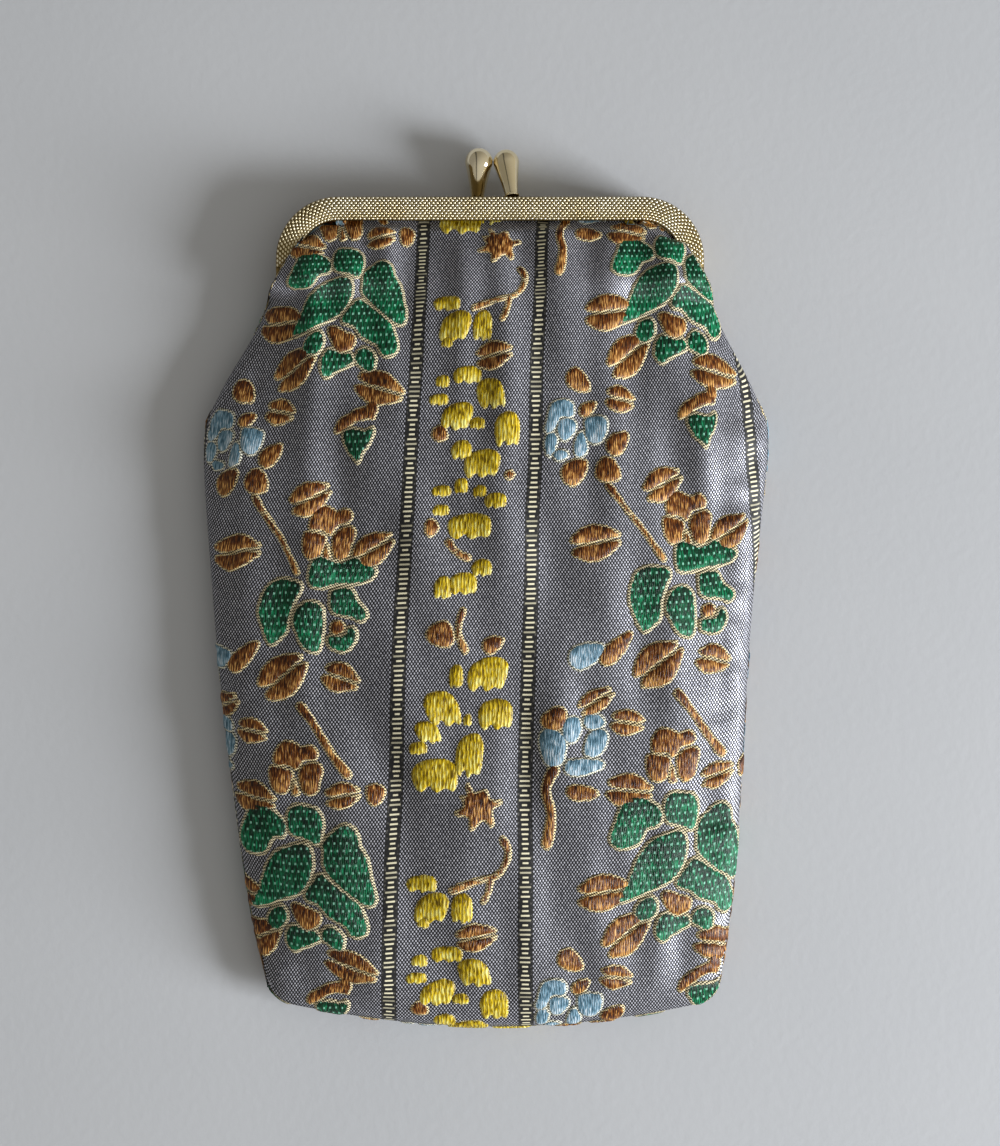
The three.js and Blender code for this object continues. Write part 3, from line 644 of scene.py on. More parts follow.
# %% [markdown]
# ## Puckers
# Cloth that is gathered into a frame and turned inside out is never smooth. Long shallow folds run down
# from the gathers, short ones stand along the creases, and the cloth dips along each woven stripe. A
# simulation would give some folds, but not these, so they are written as a soft noise over the cloth,
# stretched along it. `COLUMN` and `PANEL` are the widths of the cloth's two bands between stripes.

# %% Cloth coordinates
COLUMN, PANEL = 27, 50
REPEAT = 115
SKEW = 0.036  # how far the weft climbs to the right
GATHERED, GATHERED_AT = 4.3, (-6, 10)  # length of cloth crowded up to the frame's band, and where
COLUMN_MIDDLE = [(-LENGTH, -6.5), (-118, -6.4), (-74, -5.3), (-30, -3.2), (12, -1.3), (FRAME_TOP, -1.1)]
COLUMN_PULL = [
    (-LENGTH, 1.02), (-120, 0.99), (-96, 0.95), (-63, 0.94), (-31, 0.91), (-4, 0.9), (13, 0.88),
]
PANEL_PULL = [
    (-LENGTH, 0.94), (-120, 0.95), (-96, 1.0), (-63, 0.97), (-31, 0.89), (-4, 0.835), (13, 0.81),
]
column_middle = curve_through(COLUMN_MIDDLE)
column_pull, panel_pull = curve_through(COLUMN_PULL), curve_through(PANEL_PULL)


def soft_noise(x, y, seed):
    points = zip(np.ravel(x), np.ravel(y))
    return np.array([noise.noise((a, b, seed)) for a, b in points]).reshape(np.shape(x))


def puckers(x, up, along, across):
    """Height of the folds in millimetres, from the crease (0) inwards."""
    inside = np.clip(1 - np.abs(across), 0, 1) * side_at(up)
    free = ramp(inside, 0.5, 7) * ramp(along * LENGTH, 1, 9)
    gathers = ramp(up, -60, 5) * (1 - ramp(up, 8, 12.5))
    long_folds = soft_noise(x / 6.5, up / 38, 3.1) * mix(0.9, 2.3, gathers)
    slanted = soft_noise((x + up * 0.35) / 10, (up - x * 0.2) / 22, 8.7) * 1.25
    short_folds = soft_noise(x / 9, up / 4.2, 5.3) * (1 - ramp(inside, 2, 13)) * 0.75
    return free * (long_folds + slanted) + ramp(inside, 0.3, 3) * short_folds


# %% [markdown]
# ## The cloth grid
# `Cloth` holds one side of the pouch as a grid of points with the cloth's own coordinates: `s` across,
# counted from the middle of the flowered column, and `t` along, in millimetres. The woven pattern needs
# them, and the raised flowers are laid on the cloth with them.

# %% Cloth class
def between(grid, i, j):
    """A grid's value between its points, and its slopes along both ways."""
    i0, j0 = np.clip(i.astype(int), 0, grid.shape[1] - 2), np.clip(j.astype(int), 0, grid.shape[0] - 2)
    a, b = i - i0, j - j0
    low, high = mix(grid[j0, i0], grid[j0, i0 + 1], a), mix(grid[j0 + 1, i0], grid[j0 + 1, i0 + 1], a)
    left, right = mix(grid[j0, i0], grid[j0 + 1, i0], b), mix(grid[j0, i0 + 1], grid[j0 + 1, i0 + 1], b)
    return mix(low, high, b), right - left, high - low


class Cloth:
    TUCK = 1.6  # how far the seam allowance turns in
    CROWDING = 0.85  # how much closer the rows lie at the frame

    def __init__(self, columns, rows, form, turned_in=2, facing=1):
        self.facing = facing
        self.turned_in = turned_in
        tucks = np.arange(turned_in, 0, -1.0)
        edge = np.sin(np.linspace(-1, 1, columns + 1) * np.pi / 2)
        crowding = np.pi / 2 * self.CROWDING
        climb = np.sin(np.linspace(0, 1, rows + 1) * crowding) / np.sin(crowding)
        self.across = np.concatenate([-1 - tucks, edge, 1 + tucks[::-1]])
        self.along = np.concatenate([-tucks, climb])
        u, v = np.meshgrid(self.across, self.along)
        tuck_x = np.sign(u) * np.maximum(0, np.abs(u) - 1) / max(1, turned_in)
        tuck_y = np.maximum(0, -v) / max(1, turned_in)
        x, up, z = form(np.clip(u, -1, 1), np.clip(v, 0, 1))
        crease = np.maximum(np.abs(tuck_x), tuck_y)
        closed = ramp(-up, 3, 6)
        fold_to = mix(z - np.sign(z - MIDDLE) * 0.6, MIDDLE + np.sign(z - MIDDLE) * 0.05, closed)
        self.x = x - tuck_x * self.TUCK
        self.up = up + tuck_y * self.TUCK
        self.z = mix(z, fold_to, np.minimum(1, crease * 2))
        self.measure()

    def measure(self):
        """Works out the cloth's own coordinates from lengths along the surface."""
        points = np.stack([self.x, self.up, self.z], -1)
        step = np.linalg.norm(np.diff(points, axis=1)[:, :, [0, 2]], axis=2)
        run = np.concatenate([np.zeros((len(self.along), 1)), np.cumsum(step, axis=1)], 1)
        middle = self.facing * column_middle(self.up)
        start = np.array([np.interp(m[0], x, r) for m, x, r in zip(middle, self.x, run)])
        run -= start[:, None]
        half = COLUMN / 2
        inner = half * column_pull(self.up)
        beyond = np.maximum(0, np.abs(run) - inner) / panel_pull(self.up)
        within = np.minimum(np.abs(run), inner) / column_pull(self.up)
        self.s = self.facing * np.sign(run) * (within + beyond)
        rise = np.linalg.norm(np.diff(points, axis=0)[:, :, 1:], axis=2)
        climb = np.concatenate([np.zeros((1, self.x.shape[1])), np.cumsum(rise, axis=0)])
        hinge_row = np.argmin(np.abs(self.up[:, self.x.shape[1] // 2]))
        straight = climb - climb[hinge_row] + self.up[hinge_row] - SKEW * self.s
        self.t = straight + GATHERED * ramp(straight, *GATHERED_AT)
        across, along = (np.stack(np.gradient(points, axis=axis), 0) for axis in (1, 0))
        normal = np.cross(across, along)
        self.normal = self.facing * normal / np.maximum(np.linalg.norm(normal, axis=2), 1e-6)[:, :, None]

    def find(self, s, t):
        """The grid places of the cloth's own coordinates, by Newton's method, kept inside the crease."""
        rows, columns = self.x.shape
        i = np.interp(s * self.facing, self.s[rows // 2] * self.facing, np.arange(columns, dtype=float))
        j = np.interp(t, self.t[:, columns // 2], np.arange(rows, dtype=float))
        for _ in range(8):
            (s_here, s_i, s_j), (t_here, t_i, t_j) = between(self.s, i, j), between(self.t, i, j)
            miss_s, miss_t, spread = s_here - s, t_here - t, s_i * t_j - s_j * t_i
            i = i - np.clip((miss_s * t_j - miss_t * s_j) / spread, -8, 8)
            j = j - np.clip((miss_t * s_i - miss_s * t_i) / spread, -8, 8)
            i = np.clip(i, self.turned_in, columns - 1 - self.turned_in)
            j = np.clip(j, self.turned_in, rows - 1)
        return i, j

    def at(self, s, t):
        """Points of the cloth in millimetres, their normals, and 1 where they lie free of the band."""
        i, j = self.find(s, t)
        x, up, z = (between(grid, i, j)[0] for grid in (self.x, self.up, self.z))
        normal = np.stack([between(self.normal[:, :, k], i, j)[0] for k in range(3)], 1)
        covered_from = LAP_TO - 1 if self.facing > 0 else 0
        free = mix(1, ramp(inside_band(x, up), 0.3, 2.4), ramp(up, covered_from, covered_from + 2.5))
        return np.stack([x, up + HINGE.y, z], 1), normal, free

    def holds(self, outline):
        """Whether any of an outline lies on the cloth."""
        s, t = outline.T
        beside = s.max() < self.s.min() or s.min() > self.s.max()
        if beside or t.max() < self.t.min() or t.min() > self.t.max():
            return False
        i, j = self.find(s, t)
        rows, columns = self.x.shape
        inside_i = (i > self.turned_in + 0.01) & (i < columns - 1.01 - self.turned_in)
        return bool((inside_i & (j > self.turned_in + 0.01) & (j < rows - 1.01)).any())

    def mesh(self):
        """The grid as a bmesh, with the cloth's coordinates as a UV map."""
        rows, columns = self.x.shape
        bm = bmesh.new()
        bmesh.ops.create_grid(bm, x_segments=columns - 1, y_segments=rows - 1, size=1)
        layer = bm.loops.layers.uv.new("weave")
        cell = {}
        for vert in bm.verts:
            i = round((vert.co.x + 1) / 2 * (columns - 1))
            j = round((vert.co.y + 1) / 2 * (rows - 1))
            cell[vert] = (j, i)
            vert.co = (self.x[j, i] * MM, (self.up[j, i] + HINGE.y) * MM, self.z[j, i] * MM)
        for face in bm.faces:
            for loop in face.loops:
                place = cell[loop.vert]
                loop[layer].uv = (self.s[place], self.t[place])
        return bm


# %% [markdown]
# ## The two cloths
# A form gives the place of each point of a grid, from its share across and along. Both cloths end inside
# the channel, `IN_CHANNEL` beyond the band's inner edge. The front one laps over the arms near the hinge.

# %% Cloth forms
IN_CHANNEL = 1
REAR_LOW = 1.45  # height of the back cloth in the rear channel


def half_in_channel(up):
    """Half the width of a cloth that ends inside the channel, round the frame's corner."""
    reach, rise = CORNER - BAND + IN_CHANNEL, np.maximum(0, up - FRAME_TOP + CORNER)
    return FRAME_HALF - CORNER + np.sqrt(np.maximum(0, reach**2 - rise**2))


def front_form(across, along):
    low = bottom_at(across * BOTTOM_HALF)
    up = mix(low, FRAME_TOP - BAND + IN_CHANNEL, along)
    half = mix(side_at(up), half_in_channel(up), ramp(up, LAP_TO, LAP_TO + 1.2))
    x = across * half + sway_at(up)
    rise = swell(across) * swell(1 - np.minimum(1, (up - low) / BOTTOM_RISE))
    lap = mix(0.15, BAND_HIGH - MIDDLE + 0.75, ramp(up, -4, LAP_FROM))
    edge = MIDDLE + lap
    crown = THICKNESS * fullness_at(up)
    z = mix(edge, np.maximum(edge, crown), rise) + puckers(x, up, along, across)
    over = 1 - ramp(up, LAP_TO - 1.5, LAP_TO + 1)
    dive = mix(BAND_LOW - 0.3, z, ramp(inside_band(x, up), -0.3, 2.6))
    lapped = np.maximum(z, np.where(inside_band(x, up) < 0.8, BAND_HIGH + 0.6, 0))
    return x, up, mix(dive, np.where(up > -4, mix(z, lapped, ramp(up, -4, 0)), z), over)


def back_form(across, along):
    low = bottom_at(across * BOTTOM_HALF)
    up = mix(low, FRAME_TOP - BAND + IN_CHANNEL, along)
    half = mix(side_at(up), half_in_channel(up), ramp(up, -6, 3))
    x = across * half + sway_at(up)
    rise = swell(across) * swell(1 - np.minimum(1, (up - low) / BOTTOM_RISE))
    edge = MIDDLE - mix(0.15, 3.3, ramp(up, -5, 0))
    floor_level = mix(PETALS_UNDER, REAR_LOW, ramp(up, -6, 7))
    folds = puckers(-x, up, along, across) * 0.6
    z = mix(edge, floor_level, np.minimum(1, rise * 1.7)) - folds * (1 - np.minimum(1, rise * 1.2))
    dive = mix(REAR_LOW, z, ramp(inside_band(x, up), -0.3, 2.6))
    return x, up, np.maximum(mix(z, dive, ramp(up, 0, 4)), PETALS_UNDER)


front_cloth = Cloth(150, 236, front_form)
back_cloth = Cloth(120, 180, back_form, facing=-1)
for axis, grid in (("s", front_cloth.s), ("t", front_cloth.t)):
    print("front cloth spans", axis, grid.min().round(1), "to", grid.max().round(1))

# %% [markdown]
# ## Brocade ground
# The ground is a plain weave of silver silk floats over black, in a chequer of 0.33 by 0.48 mm. The
# ladder stripes are black bands with short cream bars. Both repeat exactly, so they are drawn by maths on
# the cloth's own coordinates. A float is a small pillow in the relief.

# %% Brocade material
CELL = (0.335, 0.475)  # width and height of one float
STRIPE = 3.1


def chequer(graph, place, s, t):
    """The pillows of the weave, from -1 to 1, and a mask of the silk floats."""
    wander = graph.noise(place, 0.35, 2) - 0.5
    u = s / CELL[0] + wander * 0.7
    v = t / CELL[1] + wander * 0.5
    pillow = (u * math.pi).sin() * (v * math.pi).sin()
    return pillow, pillow.ramp(0.14, 0.42)


def ladder_bars(graph, t, near):
    """The cream bars of a stripe, a little uneven in width from row to row."""
    row = t / (2 * CELL[1])
    shake = graph.node("ShaderNodeTexWhiteNoise", {"noise_dimensions": "1D"}, {"W": row.floor()})
    across = near + (shake - 0.5) * 0.7
    bar = across.ramp(0.95, 0.75) * ((row.fract() - 0.5).absolute()).ramp(0.24, 0.13)
    return bar * shake.ramp(-0.3, 0.4)


def brocade_ground():
    graph = new_graph("silver brocade")
    place, s, t = graph.uv("weave")
    pillow, float_mask = chequer(graph, place, s, t)
    uneven = graph.noise(place, 1.3, 3)

    repeat = COLUMN + PANEL
    from_left = ((s + COLUMN / 2) / repeat).fract() * repeat
    near = from_left.least((from_left - COLUMN).absolute()).least((from_left - repeat).absolute())
    half = STRIPE / 2
    stripe = near.ramp(half + 0.06, half - 0.06)
    bar = ladder_bars(graph, t, near)
    # beside: a thin band just inside each edge of a stripe, greyed patchily as painted sheen.
    beside = near.ramp(half - 0.55, half - 0.4) * near.ramp(half - 0.1, half - 0.2)

    silk = graph.mix(uneven.ramp(0.3, 0.7), colour("a6a6b0"), colour("e4e4ec"))
    ground = graph.mix(float_mask, colour("030305"), silk)
    ladder = graph.mix(bar, colour("0c0b0a"), colour("f0e8c4"))
    # Painted sheen along the stripe edges.
    ladder = graph.mix(beside * (uneven.ramp(0.5, 0.65)) * 0.35, ladder, colour("8f8a80"))
    shade = graph.mix(stripe, ground, ladder)
    height = (1 - stripe) * (pillow.absolute() * 0.5 + float_mask * 0.5) + stripe * bar * 0.9
    graph.bump(height, 0.1, 0.25)
    silver = float_mask * (1 - stripe)
    return graph.finish(Base_Color=shade, Roughness=0.6 - silver * 0.22, Metallic=silver * 0.35)


ground = brocade_ground()


def cloth_piece(name, cloth, material, thickness):
    bm = cloth.mesh()
    if cloth.facing < 0:
        bmesh.ops.reverse_faces(bm, faces=bm.faces)
    piece = new_piece(name, bm, material)
    wall = piece.modifiers.new("thickness", "SOLIDIFY")
    wall.thickness = thickness * MM
    wall.offset = -1
    apply_modifiers(piece)
    return piece


def apply_modifiers(piece):
    depsgraph = bpy.context.evaluated_depsgraph_get()
    made = bpy.data.meshes.new_from_object(piece.evaluated_get(depsgraph))
    piece.modifiers.clear()
    piece.data = made


BROCADE_THICK, TAFFETA_THICK = 0.45, 0.3
front = cloth_piece("front_brocade", front_cloth, ground, BROCADE_THICK)
back = cloth_piece("back_brocade", back_cloth, ground, BROCADE_THICK)
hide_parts("front_panel")
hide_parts("back_panel")
print("front cloth faces", len(front.data.polygons))

# %% [markdown]
# ## Linings and cords
# Each cloth carries a lining of dark taffeta. It follows the cloth 0.9 mm inside it, keeps 2 mm short
# of the crease, and draws in above the hip to enter the channel under the cloth. The paper cords that
# wedge the cloth in the channels keep the CAD form and take a paper material.

# %% Lining pieces
LINING_GAP = 0.95
LINING_TUCK = 14  # length over which a lining draws in below the hinge
LINING_HALF = FRAME_HALF - 2.3  # half width of a lining between the arms
CHANNEL_LINING = 2.45  # height of a lining in the channel over the middle plane


def lining_form(outer, side, in_channel):
    """The form of a lining under an outer cloth; side is 1 for the front."""
    def form(across, along):
        x, up, z = outer(across * mix(0.985, 0.97, np.abs(across)), mix(0.012, 1, along))
        draw = ramp(up, -LINING_TUCK, -3.3)
        middle = sway_at(up)
        half = np.maximum(np.abs(x - middle).max(axis=1, keepdims=True), 1)
        narrow = mix(half, np.minimum(half, LINING_HALF), draw)
        x = (x - middle) / half * narrow + middle
        level = np.abs(z - MIDDLE) - LINING_GAP
        least = mix(0.12, in_channel, ramp(up, -8, -2))
        level = np.maximum(level, least)
        held = ramp(up, 8.5, 11.5) * ramp(-inside_band(x, up), -4.5, -2)
        return x, up, MIDDLE + side * mix(level, in_channel, held)
    return form


def taffeta():
    graph = new_graph("dark taffeta")
    place, s, t = graph.uv("weave")
    weave = (s * 14).sin() * (t * 14).sin()
    graph.bump(weave, 0.03, 0.5)
    tone = graph.mix(graph.noise(place, 0.2, 3).ramp(0.3, 0.7), colour("2a2422"), colour("3a322d"))
    return graph.finish(Base_Color=tone, Roughness=0.42, Sheen_Weight=0.2)


def kraft_paper():
    graph = new_graph("kraft paper")
    place = graph.here()
    fibres = graph.noise(place, 1.4, 4)
    graph.bump(fibres, 0.08, 0.6)
    tone = graph.mix(fibres.ramp(0.3, 0.7), colour("8a6a44"), colour("b89468"))
    return graph.finish(Base_Color=tone, Roughness=0.8)


lining_cloth = taffeta()
paper = kraft_paper()
for name in ("front_paper_cord", "rear_paper_cord"):
    for slot in bpy.data.objects[name].material_slots:
        slot.material = paper
front_inner = Cloth(70, 110, lining_form(front_form, 1, CHANNEL_LINING), 0)
back_inner = Cloth(70, 110, lining_form(back_form, -1, CHANNEL_LINING), 0, -1)
front_lining = cloth_piece("front_taffeta", front_inner, lining_cloth, TAFFETA_THICK)
back_lining = cloth_piece("back_taffeta", back_inner, lining_cloth, TAFFETA_THICK)
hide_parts("front_lining")
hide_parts("back_lining")
print("lining faces", len(front_lining.data.polygons), "and", len(back_lining.data.polygons))

# %% [markdown]
# ## Petals and leaves as drawings
# The woven flowers stand proud of the ground, because their silk floats lie over it. A drawing is a list
# of outlines for one silk, in millimetres about the drawing's own middle, with half a millimetre as the
# smallest step. The large flowers have a drawn outline for each petal. Leaves and the small blossoms are
# of a few kinds only, so a formula gives their outlines from a length and a width.

# %% Drawn petals
PEONY = [
    [(-14.5, 7.5), (-15, 9), (-13.5, 13.5), (-11.5, 17), (-8.5, 16.5), (-5, 14.5), (-4, 12.5), (-5, 10.5),
     (-7, 10), (-9, 7), (-12.5, 6.5)],
    [(-4, 12.5), (-4, 15.5), (-3, 17), (-0.5, 17), (2, 16.5), (3.5, 14.5), (3.5, 11), (2.5, 9), (0, 10),
     (-3, 11)],
    [(3.5, 7), (3.5, 10), (5.5, 12), (8, 13.5), (10.5, 12), (11.5, 9), (13, 6.5), (14, 2.5), (15, -1.5),
     (14, -3), (12, -2.5), (9, -0.5), (5.5, 2.5), (3.5, 5)],
    [(-13, -3.5), (-12, -2.5), (-10.5, 0.5), (-9, 4.5), (-6.5, 7.5), (-3.5, 9), (-1, 9.5), (1, 8.5),
     (1.5, 5), (1, 2.5), (-0.5, 0), (-3, -1.5), (-5.5, -2.5), (-9.5, -4), (-12, -4.5)],
    [(-0.5, -1.5), (1.5, 2), (3, 3.5), (5.5, 2), (9, -0.5), (11.5, -2.5), (12.5, -4.5), (13.5, -7.5),
     (12.5, -9), (10, -9), (8.5, -7), (6.5, -6), (4.5, -5), (2.5, -3)],
    [(-9, -6.5), (-8, -4.5), (-6, -3.5), (-4.5, -4), (-4, -5.5), (-4.5, -7.5), (-6, -8.5), (-7.5, -8.5),
     (-8.5, -8)],
    [(-4.5, -10), (-3.5, -7.5), (-2, -7), (0.5, -8), (2.5, -8), (3.5, -10), (1.5, -11), (-1, -12),
     (-2.5, -13), (-4, -12)],
    [(3.5, -8.5), (5, -7), (7, -7.5), (8.5, -9), (8.5, -10.5), (8, -12), (6.5, -12), (5, -11),
     (3.5, -10)],
]
PEONY_HEART = [
    [(-3.5, -3), (-2, -2.5), (0.5, -3.5), (3, -4.5), (3.5, -6), (2.5, -7.5), (0, -8), (-1.5, -7),
     (-2.5, -5.5)],
]
BELLFLOWER = [
    [(-1.5, 4), (-2, 6.5), (-1.5, 9), (0, 10), (2.5, 9), (4.5, 8.5), (7.5, 9.5), (9.5, 8), (12, 7),
     (12, 5.5), (10.5, 4.5), (7.5, 4), (4, 4), (2, 3.5), (0, 3.5)],
    [(-9, 5), (-5.5, 5), (-3, 4), (-4, 1), (-5, -2), (-5.5, -5.5), (-7, -7), (-9, -8), (-11, -4.5),
     (-12, -1.5), (-11.5, 2), (-10.5, 4)],
    [(-2.5, 0.5), (-0.5, 1), (1.5, 0), (2, -2), (2, -6.5), (1.5, -9), (0.5, -9.5), (-2, -8.5), (-3.5, -6),
     (-4.5, -3.5), (-4, -1)],
    [(3, 3), (5.5, 3.5), (7.5, 3), (9, 0.5), (10.5, -1), (11, -2.5), (9.5, -3.5), (7.5, -2.5), (4.5, -2),
     (3, -0.5), (3, 1.5)],
    [(3, -6), (4.5, -6), (6.5, -6), (7, -4.5), (8.5, -4.5), (9, -6.5), (8, -8.5), (6.5, -9.5), (4.5, -9),
     (3, -8)],
]
BELLFLOWER_HEART = [
    [(3.5, -3.5), (5, -3), (6.5, -4), (6.5, -5), (5, -6), (3.5, -5.5)],
]
FIRST_CAMPION = [
    [(-5, 5.5), (-1.5, 5.5), (-0.5, 4), (-1, 2.5), (-3.5, 2.5), (-4.5, 1), (-5.5, -0.5), (-7, -0.5),
     (-6.5, 2), (-6, 4)],
    [(-4, 1.5), (-1.5, 2), (0, 1), (-0.5, -0.5), (-2, -2), (-3.5, -2), (-4, -1)],
    [(-6.5, -1), (-4.5, -1), (-4.5, -3), (-5.5, -5), (-6.5, -5), (-7, -3)],
    [(-5, -4.5), (-2, -4.5), (-2, -5.5), (-3.5, -6), (-4.5, -6)],
    [(1, -0.5), (2, -2), (2.5, -3.5), (2, -5), (0, -5.5), (-0.5, -4), (0, -2)],
    [(2, 2), (6.5, 2), (7, 0.5), (6.5, -1.5), (5, -3), (3, -2.5), (2, -1), (2, 0.5)],
]
SECOND_CAMPION = [
    [(-6, 3.5), (-3.5, 3.5), (-1.5, 1.5), (-1.5, -1), (-2, -3), (-4.5, -3.5), (-6, -1), (-6.5, 1)],
    [(-1.5, 5.5), (0.5, 6), (1.5, 5), (1.5, 2.5), (0, 1), (-1.5, 1.5), (-2, 3.5)],
    [(2.5, 6), (5.5, 6), (6.5, 4.5), (5.5, 3.5), (3.5, 3.5), (2.5, 4.5)],
    [(3.5, 2.5), (6.5, 3), (7, 0.5), (5, -2), (2.5, -1.5), (2.5, 0)],
    [(-0.5, -2.5), (6, -3), (6.5, -4), (4.5, -5), (0, -5.5), (-1.5, -4)],
]
ROSE = [
    [(-4.5, 1), (-4.5, 3.5), (-3, 5.5), (-1, 5.5), (1, 4.5), (3, 5), (4.5, 3.5), (4, 2), (1.5, 1.5),
     (0, -0.5), (-1.5, 0.5)],
    [(-5.5, 0.5), (-4, 0.5), (-1.5, 0), (-0.5, -1), (-1, -3), (-1.5, -4.5), (-4, -5), (-5.5, -3)],
    [(0.5, -0.5), (2, 1), (4.5, 1.5), (5.5, 0.5), (5, -2.5), (4.5, -4.5), (2.5, -5.5), (1, -4),
     (0.5, -2)],
    [(-0.5, -1.5), (0, -2), (0.5, -4), (1, -5), (-0.5, -5.5), (-1, -4)],
]
BUD = [
    [(-3.5, 2), (-1, 2.5), (1.5, 2), (3.5, 2.5), (3, -0.5), (1.5, -2.5), (0.5, -4.5), (-0.5, -3.5),
     (-2.5, -1.5)],
]
BUD_CAP = [
    [(-4.5, -2), (-4, 0.5), (-1.5, 2), (1, 3), (4, 2.5), (4.5, 0.5), (2.5, 0.5), (0, 0), (-2.5, -1.5)],
]
MAPLE = [
    [(-2.5, 5), (-1, 3), (1.5, 3.5), (2.5, 1.5), (5, 1), (3, -0.5), (3, -4), (1, -2.5), (-1.5, -4.5),
     (-2, -2), (-5, -1), (-3, 0.5), (-4, 2.5), (-2.5, 2.5)],
]


# %% Formed leaves and blossoms
def leaf(length, width, turn=0):
    """Two lobes on either side of a midrib, pointing right before the turn."""
    lobes = []
    for side in (1, -1):
        arc = [(length * (share - 0.5), side * (0.2 + 0.5 * width * math.sin(math.pi * share**0.85) ** 0.8))
               for share in (0.04, 0.16, 0.32, 0.5, 0.68, 0.84, 0.97)]
        rib = [(length * (share - 0.5), side * 0.2) for share in (0.8, 0.5, 0.2)]
        lobes.append((arc + rib)[::-side])
    return turned_outlines(lobes, turn)


def fleck(length, width, turn=0):
    """A small lobe without a midrib, blunt on the left and pointed on the right."""
    ring = [(0.5 * length * math.cos(a), 0.5 * width * math.sin(a) * (1 - 0.35 * math.cos(a)))
            for a in np.linspace(0, 2 * math.pi, 9)[:-1]]
    return turned_outlines([ring], turn)


def blossom(width, height, lean=0.0):
    """A rounded cap over a ragged lower edge."""
    w, h = width / 2, height / 2
    low = [(-w * 0.95, -h * 0.2), (-w * 0.6, -h * 0.95), (-w * 0.2, -h * 0.6), (w * 0.1, -h),
           (w * 0.5, -h * 0.75), (w * 0.85, -h * 0.9), (w, -h * 0.1)]
    high = [(w * 0.9, h * 0.6), (w * 0.4, h), (-w * 0.4, h * 0.95), (-w * 0.9, h * 0.55)]
    return [[(x + lean * y, y) for x, y in low + high]]


def stem(points, width=1.0):
    """A strip along a few points."""
    path = np.array(points, float)
    way = np.gradient(path, axis=0)
    side = np.stack([-way[:, 1], way[:, 0]], 1) * (width / 2 / np.linalg.norm(way, axis=1))[:, None]
    return [[tuple(p) for p in np.concatenate([path - side, (path + side)[::-1]])]]


def turned_outlines(outlines, degrees):
    c, s = math.cos(math.radians(degrees)), math.sin(math.radians(degrees))
    return [[(x * c - y * s, x * s + y * c) for x, y in outline] for outline in outlines]


# %% [markdown]
# ## Where the flowers stand
# One repeat of the cloth is a column of small blossoms and a panel of large flowers. Each entry gives a
# drawing and its place as `(s, t)`. The whole list comes again every repeat, across and along.

